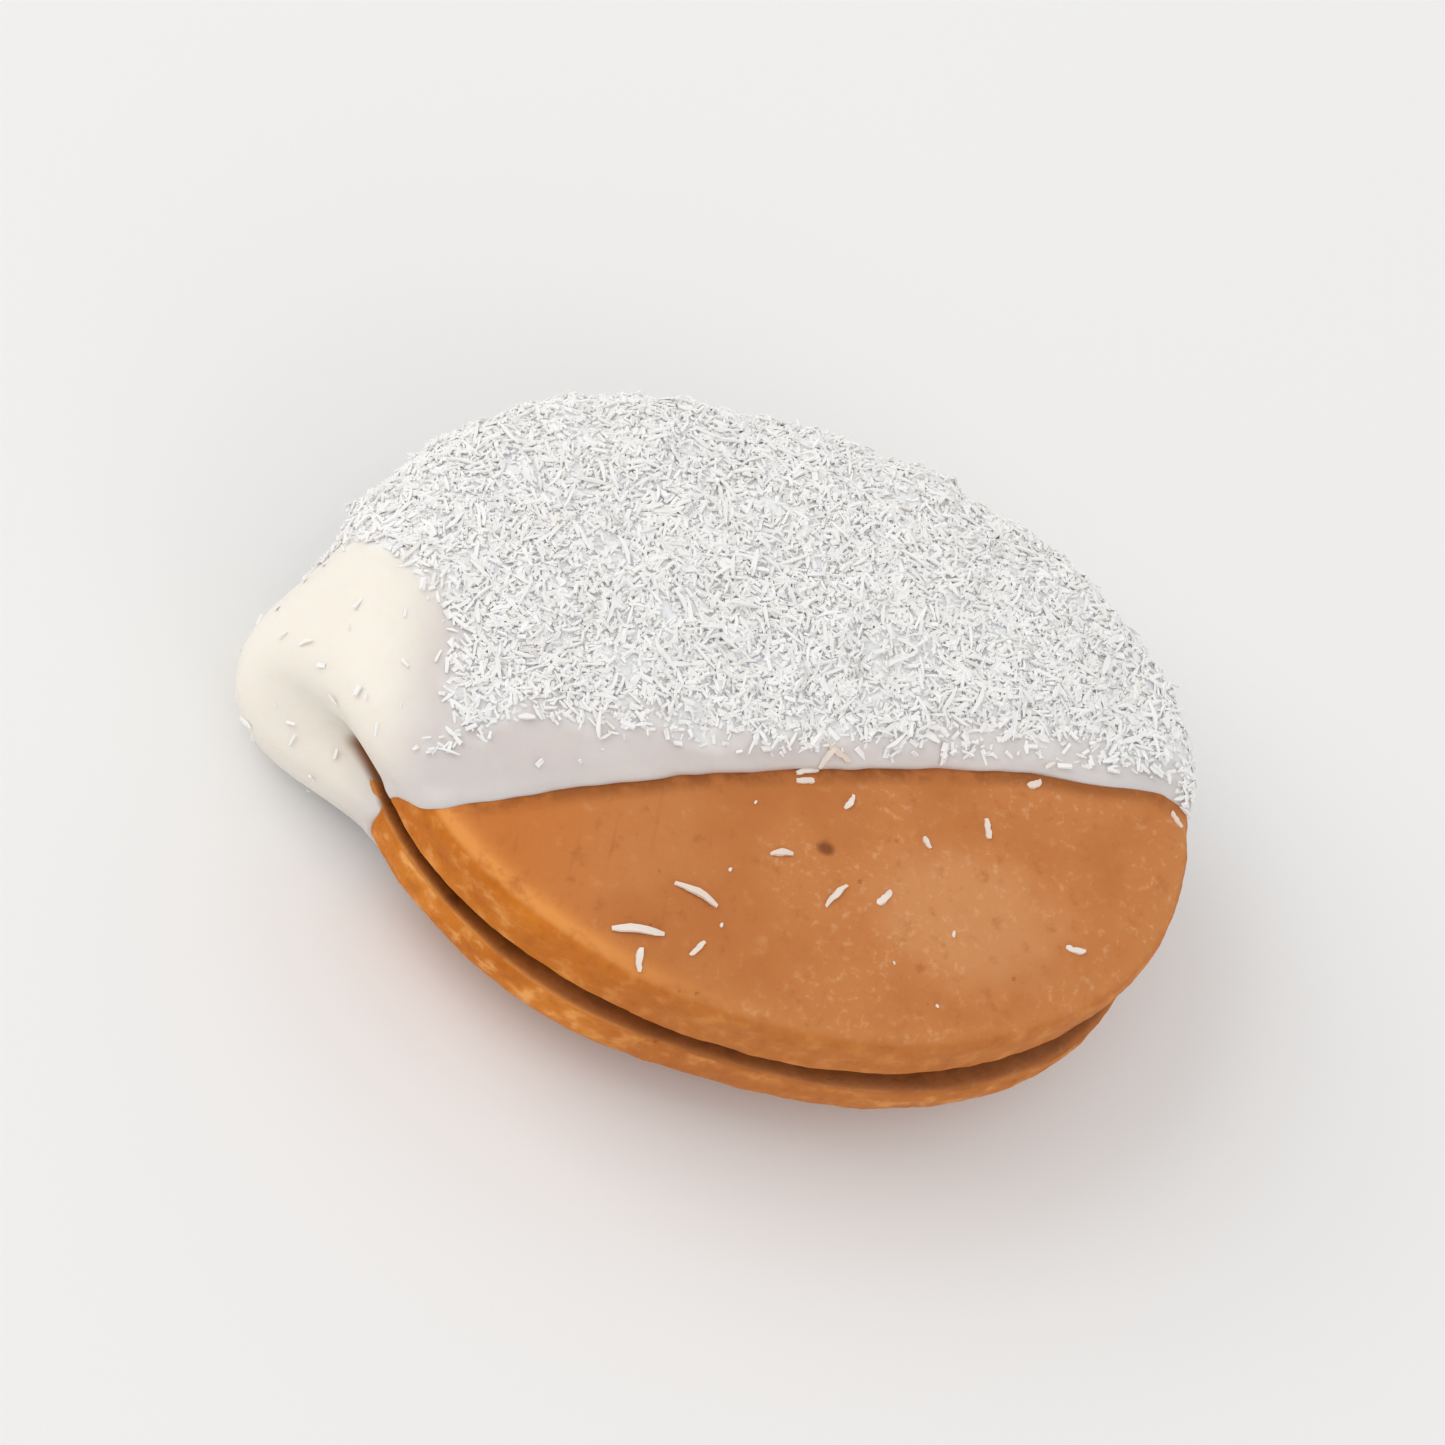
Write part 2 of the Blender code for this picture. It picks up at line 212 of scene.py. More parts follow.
# %% A geometry tree with named inputs
class Shape(Graph):
    """A geometry tree with named inputs."""

    def __init__(self, name):
        super().__init__(bpy.data.node_groups.new(name, "GeometryNodeTree"))
        self.tree.interface.new_socket("Geometry", in_out="OUTPUT", socket_type="NodeSocketGeometry")
        self.entry = self.tree.nodes.new("NodeGroupInput")
        self.start = self.given("Geometry", "Geometry")

    def given(self, name, kind="Float"):
        self.tree.interface.new_socket(name, in_out="INPUT", socket_type="NodeSocket" + kind)
        return Field(self, self.entry.outputs[name])

    def numbers(self, *names):
        return [self.given(name) for name in names]

    def move(self, geometry, **inputs):
        """Sets the Position of points, or moves them by an Offset."""
        return self.node("GeometryNodeSetPosition", {}, {"Geometry": geometry} | inputs)

    def store(self, geometry, name, value, domain="POINT"):
        settings = {"data_type": "FLOAT", "domain": domain}
        inputs = {"Geometry": geometry, "Name": name, "Value": value}
        return self.node("GeometryNodeStoreNamedAttribute", settings, inputs)

    def random(self, low, high, seed):
        inputs = {"Min": low, "Max": high, "Seed": seed}
        return self.node("FunctionNodeRandomValue", {"data_type": "FLOAT"}, inputs)

    def end(self, geometry, material):
        """Every tree ends in plain geometry with its material."""
        whole = self.node("GeometryNodeRealizeInstances", {}, {"Geometry": geometry})
        painted = self.node("GeometryNodeSetMaterial", {}, {"Geometry": whole, "Material": material})
        self.node("NodeGroupOutput", {}, {"Geometry": painted})


def new_object(name, data):
    obj = bpy.data.objects.new(name, data)
    bpy.context.scene.collection.objects.link(obj)
    return obj


def grow(name, shape, values, start=None):
    """Runs a geometry tree once, and keeps its result as a plain mesh."""
    obj = new_object(name, start.copy() if start else bpy.data.meshes.new(name))
    modifier = obj.modifiers.new(name, "NODES")
    modifier.node_group = shape.tree
    for item in shape.tree.interface.items_tree:
        if item.in_out == "INPUT" and item.name in values:
            modifier[item.identifier] = values[item.name]
    graph = bpy.context.evaluated_depsgraph_get()
    result = obj.evaluated_get(graph)
    mesh = bpy.data.meshes.new_from_object(result, preserve_all_data_layers=True, depsgraph=graph)
    obj.modifiers.remove(modifier)
    obj.data = mesh
    mesh.name = name
    return obj


def count(obj):
    """Tells how many triangles a piece has."""
    obj.data.calc_loop_triangles()
    print(obj.name, len(obj.data.loop_triangles), "triangles")


print("geometry helpers ready")

# %% [markdown]
# # The finish of the biscuits
#
# Butter dough bakes to a warm caramel brown. Its face was pressed flat and is satin, with broad soft
# blotches, a few pores and faint scratches. Its rim is more orange and drier, with pale crumbs that partly
# stand for painted highlights, and it darkens towards the seam, partly where jam has soaked in and partly
# as painted shade. A thin dark line along the chocolate's edge is partly grease and partly painted shadow,
# and a painted highlight runs round the face's edge. A picture of a biscuit would fix all that to one
# view, so the colours are worked out from the place on it.

# %% A material's tree
class Finish(Graph):
    """A material's tree, with its places measured from the middle of the sandwich."""

    def __init__(self, name):
        self.material = bpy.data.materials.new(name)
        self.material.use_nodes = True
        super().__init__(self.material.node_tree)
        self.shader = self.tree.nodes["Principled BSDF"]
        at = self.node("ShaderNodeTexCoord", output="Object")
        self.place = self.vector("SUBTRACT", at, tuple(MIDDLE))

    def mix(self, share, first, second):
        """The second colour over the first one, by this share."""
        settings = {"data_type": "RGBA", "clamp_factor": True}
        return self.node("ShaderNodeMix", settings, {0: share, 1: first, 2: second})

    def stretch(self, scale, turn=0.0):
        """The places turned about Z and then stretched, for streaks."""
        inputs = {"Vector": self.place, "Rotation": (0, 0, turn), "Scale": scale}
        return self.node("ShaderNodeMapping", {}, inputs)

    def attribute(self, name):
        return self.node("ShaderNodeAttribute", {"attribute_name": name}, output="Fac")

    def cells(self, size):
        """The distance to the nearest of many scattered spots, as a share of their spacing."""
        return self.node("ShaderNodeTexVoronoi", {}, {"Vector": self.place, "Scale": 1 / size})

    def spot(self, centre, radii, soft):
        """A round or oval mark, 1 inside and 0 outside, with an uneven edge."""
        away = self.vector("SUBTRACT", self.place, tuple(centre))
        away = self.vector("DIVIDE", away, tuple(radii))
        far = self.node("ShaderNodeVectorMath", {"operation": "LENGTH"}, {0: away}, output="Value")
        far = far + (self.noise(self.place, 1.6 * MM, 3.0) - 0.5) * 0.7
        return self.step(far, 1 + soft, 1 - soft)

    def set(self, **values):
        """Fixed values and links of the shader's sockets."""
        for name, value in values.items():
            self.feed(self.shader.inputs[name.replace("_", " ")], value)

    def bump(self, height, distance, under=None):
        """Relief too fine for the mesh. The height is a share of the distance."""
        inputs = {"Height": height, "Distance": distance}
        if under:
            inputs["Normal"] = under
        return self.node("ShaderNodeBump", {}, inputs)


# %% Colours and marks of baked dough, with its painted light and shade
CARAMEL, LIGHT_CARAMEL, LEFT_CARAMEL = (0.510, 0.172, 0.045), (0.576, 0.214, 0.064), (0.593, 0.182, 0.031)
PALE_PATCH, FLOUR = (0.660, 0.300, 0.120), (0.74, 0.42, 0.22)
LIGHT_MOTTLE, DARK_MOTTLE = (0.70, 0.335, 0.140), (0.375, 0.110, 0.024)
# The dark line along the chocolate is partly grease and partly painted shadow under its lip
SCRATCH, GREASE_AND_SHADOW = (0.43, 0.128, 0.024), (0.28, 0.080, 0.015)
RIM, LIGHT_RIM, RIGHT_RIM = (0.60, 0.170, 0.011), (0.72, 0.228, 0.020), (0.50, 0.163, 0.036)
# Pale crumbs that partly stand for painted highlights on the rim
PALE_CRUMB_AND_HIGHLIGHT, DARK_CRUMB = (0.92, 0.43, 0.125), (0.38, 0.092, 0.006)
# A painted highlight for the face's edge, and a dark brown for the seam that is partly jam stain and partly
# painted shade
PAINTED_EDGE_HIGHLIGHT, JAM_STAIN_AND_SHADE = (0.88, 0.36, 0.085), (0.085, 0.017, 0.001)
PORE, PIT = (0.30, 0.085, 0.018), (0.17, 0.045, 0.010)
PATCH_PLACE, PATCH_RADII = (11.5 * MM, -7.5 * MM, 5.4 * MM), (5.2 * MM, 3.6 * MM, 9 * MM)
PIT_PLACE, PIT_RADII = (2.9 * MM, -6.3 * MM, 5.4 * MM), (0.50 * MM, 0.36 * MM, 2 * MM)
STREAK_STRETCH, STREAK_TURN = (1.0, 0.06, 1.0), math.radians(-18)


# %% The finish from the place on the biscuit
def biscuit_finish(name, rim_crumbs_and_highlight):
    """Baked dough. Left is towards -X. The second argument says how many pale crumbs the rim has, and these
    partly stand for painted highlights.
    """
    g = Finish(name)
    x, _, z = g.split(g.place)
    rim, edge = g.attribute("rim"), g.attribute("edge")

    blotches = g.noise(g.place, 7 * MM, 3.0)
    mottling = g.noise(g.place, 1.1 * MM, 4.0, 0.6)
    grain = g.noise(g.place, 0.35 * MM, 3.0)
    streaks = g.noise(g.stretch(STREAK_STRETCH, STREAK_TURN), 0.45 * MM, 3.0)

    face = g.mix(g.step(blotches, 0.35, 0.65), CARAMEL, LIGHT_CARAMEL)
    face = g.mix(g.step(x, -4 * MM, -16 * MM) * 0.75, face, LEFT_CARAMEL)
    face = g.mix(g.spot(PATCH_PLACE, PATCH_RADII, 0.45) * 0.65, face, PALE_PATCH)
    powder = g.step(g.noise(g.place, 0.55 * MM, 3.0, 0.65), 0.54, 0.70) * g.step(blotches, 0.44, 0.62)
    face = g.mix(powder * g.step(x, -8 * MM, 2 * MM) * 0.45, face, FLOUR)
    face = g.mix(g.step(mottling, 0.56, 0.80) * 0.40, face, LIGHT_MOTTLE)
    face = g.mix(g.step(mottling, 0.45, 0.25) * 0.45, face, DARK_MOTTLE)
    face = g.mix(g.step(streaks, 0.56, 0.74) * g.step(x, 4 * MM, -12 * MM) * 0.35, face, SCRATCH)
    # A thin dark line along the chocolate's edge: partly grease, partly painted shadow under the lip
    face = g.mix(g.attribute("shore") * g.step(blotches + mottling, 0.75, 1.10) * 0.75, face, GREASE_AND_SHADOW)

    crumb = g.noise(g.place, 1.3 * MM, 4.0, 0.55)
    side = g.mix(g.step(blotches, 0.40, 0.60), RIM, LIGHT_RIM)
    side = g.mix(g.step(x, -12 * MM, 2 * MM) * 0.8, side, RIGHT_RIM)
    # Pale crumbs on the rim, partly real and partly painted highlights, stronger towards -X
    pale_and_highlit = g.step(crumb, 0.48, 0.72) * rim_crumbs_and_highlight * (0.45 + g.step(x, -2 * MM, -12 * MM) * 0.55)
    side = g.mix(pale_and_highlit, side, PALE_CRUMB_AND_HIGHLIGHT)
    side = g.mix(g.step(crumb, 0.48, 0.28) * 0.40, side, DARK_CRUMB)
    colour = g.mix(rim, face, side)
    # A painted highlight along the face's edge where it turns into the rim, stronger towards -X
    painted_highlight = edge * g.step(crumb, 0.25, 0.50) * (0.12 + g.step(x, 2 * MM, -12 * MM) * 0.63)
    colour = g.mix(painted_highlight, colour, PAINTED_EDGE_HIGHLIGHT)
    # Darker towards the seam: partly jam that soaked in, partly painted shade in the gap between the
    # biscuits, stronger towards -X
    soaked_and_shaded = g.step(abs(z), 0.65 * MM, 0.35 * MM) * (0.65 + g.step(x, -9 * MM, -16 * MM) * 0.35)
    colour = g.mix(soaked_and_shaded * (0.80 + g.step(mottling, 0.4, 0.6) * 0.20), colour, JAM_STAIN_AND_SHADE)

    holes = g.noise(g.place, 1.9 * MM, 1.0)
    pores = g.step(g.cells(0.95 * MM), 0.17, 0.06) * g.step(holes, 0.60, 0.68)
    colour = g.mix(pores * 0.35, colour, PORE)
    pit = g.spot(PIT_PLACE, PIT_RADII, 0.5)
    colour = g.mix(pit * 0.8, colour, PIT)

    rough = 0.47 + (mottling - 0.5) * 0.22 + rim * 0.14 + g.step(streaks, 0.5, 0.75) * 0.08
    relief = g.bump(mottling + rim * crumb * 1.6, 0.08 * MM)
    relief = g.bump(grain, 0.035 * MM, relief)
    relief = g.bump(1 - pores * 0.6 - pit, 0.10 * MM, relief)
    g.set(Base_Color=colour, Roughness=rough, Normal=relief)
    g.set(Subsurface_Weight=0.08, Subsurface_Radius=(1.0, 0.45, 0.2), Subsurface_Scale=0.5 * MM)
    g.set(Specular_IOR_Level=0.18)
    return g.material


# The lower biscuit's rim gets more of them, as painted highlight where its shoulder faces the light
UPPER_FINISH = biscuit_finish("baked_dough_upper", 0.55)
LOWER_FINISH = biscuit_finish("baked_dough_lower", 0.95)
print("biscuit finishes:", UPPER_FINISH.name, "and", LOWER_FINISH.name)

# %% [markdown]
# # The biscuits
#
# Each biscuit is an oval pillow with a flat face, a round upper edge and a tight lower one. It could be a
# cylinder with bevels, but dough that was cut and baked has no such straight parts. One rule gives
# the whole surface: rays go out from the middle of a ball, and each stops where the sum of its powers
# reaches one. A higher power makes a flatter face and a tighter edge. Waves round the outline and low
# relief then make it uneven, as dough is.

# %% Sizes of a biscuit
BISCUIT_LENGTH = 46.0 * MM
BISCUIT_WIDTH = 34.4 * MM
HALF_LENGTH = BISCUIT_LENGTH / 2
HALF_WIDTH = BISCUIT_WIDTH / 2
HALF_HEIGHT = 5.5 * MM  # from the middle of the sandwich to a biscuit's face
OVAL_POWER = 2.15
SEAM_LEVEL = 0.22 * MM  # where the biscuit's flat side lies on the jam
OUTLINE_WAVES = ((2, 0.45), (3, 0.8), (5, 0.5), (8, 0.25))
LOWER_SHIFT = Vector((0.3, -0.4, 0)) * MM
LOWER_TURN = math.radians(1.2)


# %% The pillow rule as a geometry tree
def biscuit_shape():
    g = Shape("biscuit")
    length, width, fullness, wobble, phase = g.numbers("Length", "Width", "Oval power", "Wobble", "Phase")
    face, seam, widest = g.numbers("Face level", "Seam level", "Widest level")
    face_power, seam_power = g.numbers("Face power", "Seam power")
    face_relief, rim_relief = g.numbers("Face relief", "Rim relief")
    material = g.given("Material", "Material")

    ball = g.node("GeometryNodeMeshIcoSphere", {}, {"Radius": 1.0, "Subdivisions": 7})
    x, y, z = g.split(g.node("GeometryNodeInputPosition"))
    z = z * 2.0  # steeper rays, so that more of them meet the face
    up = g.math("GREATER_THAN", z, 0.0)
    power = seam_power + (face_power - seam_power) * up
    plan = (abs(x) ** fullness + abs(y) ** fullness) ** (power / fullness)
    reach = (plan + abs(z) ** power) ** (-1 / power)
    x = x * reach * length / 2
    y = y * reach * width / 2
    z = z * reach * (widest - seam + (face - 2 * widest + seam) * up) + widest

    angle = g.math("ARCTAN2", y, x)
    waves = 1.0
    for number, size in OUTLINE_WAVES:
        waves = waves + g.math("SINE", (angle + phase) * number) * size * wobble
    shape = g.move(ball, Position=g.join(x * waves, y * waves, z))

    normal = g.node("GeometryNodeInputNormal")
    facing = abs(g.split(normal)[2])
    shape = g.store(shape, "rim", g.step(facing, 0.88, 0.40))
    # Where the face turns into the rim, kept for a painted highlight there
    shape = g.store(shape, "edge", g.step(facing, 0.50, 0.75) * g.step(facing, 0.995, 0.86) * up)
    rim = g.step(facing, 0.95, 0.60)
    at = g.node("GeometryNodeInputPosition")
    at = g.vector("ADD", at, g.join(phase, 0.0, 0.0))
    broad = (g.noise(at, 9 * MM, 1.0) - 0.5) * face_relief * 3
    small = (g.noise(at, 2.4 * MM, 3.0) - 0.5) * face_relief
    crumb = (g.noise(at, 1.9 * MM, 3.0, 0.6) - 0.5) * rim_relief * rim
    shape = g.move(shape, Offset=g.scaled(normal, broad + small + crumb))
    shape = g.node("GeometryNodeSetShadeSmooth", {}, {"Geometry": shape})
    g.end(shape, material)
    return g


def lower_place():
    """Face down, and a little off the upper biscuit."""
    flip = Matrix.Rotation(math.pi, 4, "X")
    return Matrix.Translation(LOWER_SHIFT) @ Matrix.Rotation(LOWER_TURN, 4, "Z") @ flip


def settle(obj, place=None):
    """Puts a piece that was worked out about the middle of the sandwich where the model has it."""
    obj.data.transform(Matrix.Translation(MIDDLE) @ (place or Matrix.Identity(4)))
    return obj


# %% Growing both biscuits
BISCUIT = biscuit_shape()
BISCUIT_VALUES = {
    "Length": BISCUIT_LENGTH,
    "Width": BISCUIT_WIDTH,
    "Face level": HALF_HEIGHT,
    "Seam level": SEAM_LEVEL,
    "Oval power": OVAL_POWER,
    "Wobble": 0.011,
    "Face relief": 0.07 * MM,
    "Rim relief": 0.42 * MM,
}
upper_values = {"Face power": 5.5, "Seam power": 9.0, "Widest level": 2.1 * MM, "Phase": 0.4,
                "Material": UPPER_FINISH}
lower_values = {"Face power": 3.4, "Seam power": 10.0, "Widest level": 1.6 * MM, "Phase": 2.1,
                "Material": LOWER_FINISH}
upper = settle(grow("upper_biscuit", BISCUIT, BISCUIT_VALUES | upper_values))
lower = settle(grow("lower_biscuit", BISCUIT, BISCUIT_VALUES | lower_values), lower_place())
for piece in (upper, lower):
    count(piece)

# %% [markdown]
# # The jam
#
# A thin layer of dark apricot jam glues the biscuits together. Only its edge shows, as a glossy line that
# draws back and swells out between the rims. A ring of rounded edge points, closed by two flat caps, is all
# it takes. It is a little thicker than the space between the biscuits, so that no gap shows.

# %% A closed skin through rings of points
def skin(name, rings, poles=(None, None)):
    """A closed mesh through rings of points. Each end runs to its pole, or else to a flat cap."""
    rings = np.asarray(rings, float)
    rows, columns = rings.shape[:2]
    points = [tuple(point) for point in rings.reshape(-1, 3)]
    faces = []
    for row in range(rows - 1):
        for i in range(columns):
            j = (i + 1) % columns
            here, above = row * columns, (row + 1) * columns
            faces.append((here + i, here + j, above + j, above + i))
    first = list(range(columns))
    last = [(rows - 1) * columns + i for i in range(columns)]
    for ring, pole in ((first[::-1], poles[0]), (last, poles[1])):
        if pole is None:
            faces.append(tuple(ring))
        else:
            points.append(tuple(pole))
            tip = len(points) - 1
            faces.extend((ring[i], ring[(i + 1) % columns], tip) for i in range(columns))
    mesh = bpy.data.meshes.new(name)
    mesh.from_pydata(points, [], faces)
    mesh.shade_smooth()
    return mesh


# %% Jam finish and layer
def jam_finish():
    g = Finish("apricot_jam")
    thick = g.noise(g.place, 2.2 * MM, 2.0)
    colour = g.mix(g.step(thick, 0.35, 0.7), (0.13, 0.022, 0.002), (0.30, 0.075, 0.006))
    g.set(Base_Color=colour, Roughness=0.12 + thick * 0.12, Normal=g.bump(thick, 0.15 * MM))
    g.set(Subsurface_Weight=0.25, Subsurface_Radius=(1.0, 0.35, 0.1), Subsurface_Scale=0.8 * MM)
    g.set(Coat_Weight=0.4, Coat_Roughness=0.08)
    return g.material


JAM_COLUMNS = 360
JAM_INSET = 1.0 * MM
JAM_SWELL = 0.35 * MM
JAM_HALF = SEAM_LEVEL + 0.12 * MM
JAM_EDGE = [(1 - math.cos(turn), math.sin(turn)) for turn in np.linspace(-math.pi / 2, math.pi / 2, 11)]


def jam_layer():
    angles = np.arange(JAM_COLUMNS) * math.tau / JAM_COLUMNS
    along, across = np.cos(angles), np.sin(angles)
    oval = np.abs(along / HALF_LENGTH) ** OVAL_POWER + np.abs(across / HALF_WIDTH) ** OVAL_POWER
    swell = JAM_SWELL * np.sin(7 * angles) * np.sin(3 * angles + 1)  # waves of no even rhythm
    radius = oval ** (-1 / OVAL_POWER) - JAM_INSET - swell
    rings = []
    for inset, level in JAM_EDGE:
        out = radius - inset * JAM_HALF
        rings.append(np.stack([out * along, out * across, np.full(JAM_COLUMNS, level * JAM_HALF)], 1))
    return rings


jam = settle(new_object("jam_layer", skin("jam_layer", jam_layer())))
jam.data.materials.append(jam_finish())
count(jam)

# %% [markdown]
# # The white chocolate
#
# The coat was dipped askew: its edge runs slantwise over the face, droops at both ends and draws back in a
# notch round the seam. A Boolean with a tilted block would cut a straight hard edge, but chocolate ends in
# a round lip. So the coat is lofted in rows that start on the dip line and run to its far tip. Each ray
# from the middle is cast onto the real biscuits to find where they are, and the coat's thickness grows
# from nothing at the lip.
#
# At the -X end chocolate gathered in a smooth ball. The seam shows through it as a slit, which is a groove
# in the coat's thickness, painted dark brown: the seam's colour, darkened as painted shade.

# %% The dip line
DIP_LEVEL = -2.8 * MM
DIP_SLANT = math.radians(2)
DIP_TURN = math.radians(21.7)
DIP_DROOP = 2.1 * MM
CORNER_DROOP = 1.4 * MM
CORNER_STARTS = 0.88  # a share of the half length, as the next two are
NOTCH_STARTS, NOTCH_FULL = 0.65, 0.95
NOTCH_DEPTH, FAR_NOTCH_DEPTH = 3.7 * MM, 2.4 * MM
NOTCH_LEVEL, NOTCH_HALF_HEIGHT, NOTCH_POWER = -0.8 * MM, 4.2 * MM, 4
DRIPS = ((0.26 * MM, 5.0 * MM), (0.12 * MM, 1.5 * MM))  # heights and sizes of lumps
DIP_AXIS = Vector((0, math.cos(DIP_SLANT), -math.sin(DIP_SLANT)))
DIP_AXIS.rotate(Matrix.Rotation(DIP_TURN, 3, "Z"))
DIP_DISTANCE = DIP_LEVEL * DIP_AXIS.y


def smooth(value):
    """A soft step from 0 to 1."""
    value = np.clip(value, 0, 1)
    return value * value * (3 - 2 * value)


def lumps(points, size, shift=0.0):
    """Soft random heights from -1 to 1 at these points."""
    move = Vector((shift, 0, 0))
    return np.array([noise.noise(Vector(point) / size + move) for point in points])


def uneven(points, layers):
    """Lumps of several heights, one upon another."""
    return sum(height * lumps(points, *place) for height, *place in layers)


def above_dip(points):
    """How far points lie on the coated side of the dip line."""
    out = np.abs(points[:, 0]) / HALF_LENGTH
    end = np.clip((out - NOTCH_STARTS) / (NOTCH_FULL - NOTCH_STARTS), 0, 1)
    depth = np.where(points[:, 0] < 0, NOTCH_DEPTH, FAR_NOTCH_DEPTH)
    notch = depth * end * np.exp(-(((points[:, 2] - NOTCH_LEVEL) / NOTCH_HALF_HEIGHT) ** NOTCH_POWER))
    corner = np.clip((points[:, 0] / HALF_LENGTH - CORNER_STARTS) / (1 - CORNER_STARTS), 0, 1)
    droop = DIP_DROOP * out**2 + CORNER_DROOP * corner
    return points @ np.array(DIP_AXIS) - DIP_DISTANCE + droop - notch + uneven(points, DRIPS)


# %% Rays that cover the coat
COAT_COLUMNS = 500
TURNS = np.arange(COAT_COLUMNS) * math.tau / COAT_COLUMNS
COAT_ROWS = 140
ROW_CROWDING = 1.6
HALVINGS = 30


def ray_directions(latitudes):
    """A ray from the middle of the sandwich for each turn and its latitude, squashed as the sandwich is.
    Latitude 90 degrees is the far tip of the coat."""
    tip = np.array(DIP_AXIS)
    along = np.array([1.0, 0, 0]) - tip * tip[0]
    along /= np.linalg.norm(along)
    through = np.cross(tip, along)
    belt = np.cos(TURNS)[:, None] * along + np.sin(TURNS)[:, None] * through
    rays = np.sin(latitudes)[:, None] * tip + np.cos(latitudes)[:, None] * belt
    return rays * np.array([HALF_LENGTH, HALF_WIDTH, HALF_HEIGHT])


def unit(rays):
    """The same rays, each one metre long."""
    return rays / np.linalg.norm(rays, axis=1)[:, None]


def pillow(rays, sizes, power):
    """Where rays from the middle leave a pillow of these half sizes."""
    x, y, z = np.abs(rays / sizes).T
    plan = (x**OVAL_POWER + y**OVAL_POWER) ** (power / OVAL_POWER)
    return rays / ((plan + z**power) ** (1 / power))[:, None]


LIP_SIZES = np.array([HALF_LENGTH + 0.4 * MM, HALF_WIDTH + 0.4 * MM, HALF_HEIGHT + 0.1 * MM])
LIP_POWER = 5.0
low, high = np.full(COAT_COLUMNS, math.radians(-70)), np.full(COAT_COLUMNS, math.radians(80))
for _ in range(HALVINGS):
    middle = (low + high) / 2
    coated = above_dip(pillow(ray_directions(middle), LIP_SIZES, LIP_POWER)) > 0
    low, high = np.where(coated, low, middle), np.where(coated, middle, high)
BORDER = high
EDGE = KDTree(COAT_COLUMNS)
for number, point in enumerate(pillow(ray_directions(BORDER), LIP_SIZES, LIP_POWER)):
    EDGE.insert(point, number)
EDGE.balance()


def from_edge(points):
    """The distance from each point to the coat's edge."""
    return np.array([EDGE.find(point)[2] for point in points])


span = np.degrees([BORDER.min(), BORDER.max()]).round(1)
print("dip line between latitudes", span[0], "and", span[1])

# %% The coat's surface
COAT_SIDE, COAT_ABOVE, COAT_BELOW = 2.4 * MM, 1.8 * MM, 2.1 * MM
COAT_LEAN = 0.9 * MM  # the coat reaches this much further out at the -X end
FAR_COAT_LEAN = -1.4 * COAT_LEAN
COAT_POWER = 3.2
THINNEST, THIN_FILLET = 0.9 * MM, 0.2 * MM
COCONUT_ROOM = 0.35 * MM  # the chocolate is thinner by this where coconut covers it
COAT_LUMP = 0.56 * MM
COAT_LUMPS = ((1.0, 3.6 * MM), (0.7, 1.6 * MM))
COVERED_LUMP, COVERED_LUMP_SIZE = 0.6, 0.8 * MM
BARE_LUMPINESS = 0.2
UNDERSIDE = FLOOR_LEVEL + 0.25 * MM
LIP_ROUND, LIP_SLOPE = 0.8 * MM, 4.2 * MM
LIP_SHARE = 0.34  # share of the thickness that the round lip has
END_STARTS, END_SPAN = 16 * MM, 6 * MM  # where the -X end starts, and how soon it is at its full
END_LIP_LOSS, END_LIP_SPREAD = 0.20, 1.0 * MM  # a thinner, longer lip along the notch
BLOB_MIDDLE = np.array([-23.5, -2.4, -2.4]) * MM  # chocolate gathered in a ball at the -X end
BLOB_RADIUS = 5.5 * MM
BLOB_FILLET, BLOB_LIP = 0.9 * MM, 1.7 * MM
SLIT_LENGTH, SLIT_LEVEL, SLIT_HALF_HEIGHT = 4.6 * MM, -0.05 * MM, 0.55 * MM
SLIT_TAPER, SLIT_FADE = 2.8, 1.6 * MM  # how bluntly its groove ends, and how softly its brown does
SLIT_WALL, SLIT_SHARE = 0.5 * MM, 0.20  # its steep foot, with this share of the coat's thickness
SLIT_SLOPE, SLIT_UPPER_SLOPE = 2.0 * MM, 4.2 * MM  # its long slopes, below and above
SLIT_SLOPE_STARTS, SLIT_SLOPE_SPAN = 0.8 * MM, 2.4 * MM
BARE_MIDDLE = np.array([-25.0, -4.0, 1.0]) * MM  # no coconut lies this near
BARE_REACH, BARE_FADE = 7.4 * MM, 1.6 * MM
BAND, BAND_LOSS = 2.8, 2.4  # mm of bare chocolate along the lip, and how much less at the +X end
BAND_STARTS, BAND_SPAN, BAND_FADE = 18 * MM, 20 * MM, 2.2 * MM
FRAYS = ((1.0 * MM, 2.4 * MM, 3.0), (0.7 * MM, 0.9 * MM, 8.0))  # these have a shift, too
STRAY_COVER = 0.006  # what little coconut the bare chocolate caught
RAY_START = 60  # in mm


def coconut_cover(points, past):
    """How thickly coconut lies: 1 where it covers the chocolate, and 0 where that is bare."""
    ragged = uneven(points, FRAYS)
    band = MM * (BAND - BAND_LOSS * smooth((points[:, 0] + BAND_STARTS) / BAND_SPAN))
    past_blob = np.linalg.norm(points - BARE_MIDDLE, axis=1) - BARE_REACH
    cover = smooth((past - band + ragged) / BAND_FADE) * smooth((past_blob + ragged) / BARE_FADE)
    return np.maximum(cover, STRAY_COVER * smooth(past / MM))


def larger(first, second, soft):
    """The larger of two heights, with a soft fillet where they cross."""
    return soft * np.logaddexp(first / soft, second / soft)


def round_lip(share):
    """A quarter circle from 0 to 1."""
    return np.sqrt(1 - (1 - np.clip(share, 0, 1)) ** 2)


def ball_rise(rays, far, middle, radius):
    """How much further out than this rays leave a ball, with a fillet round its foot."""
    nearest = unit(rays) @ middle
    half = np.clip(radius**2 - middle @ middle + nearest**2, 0, None)
    rise = larger(nearest + np.sqrt(half) - far, 0, BLOB_FILLET)
    return rise * smooth(4 * half / radius**2) * (nearest > 0)


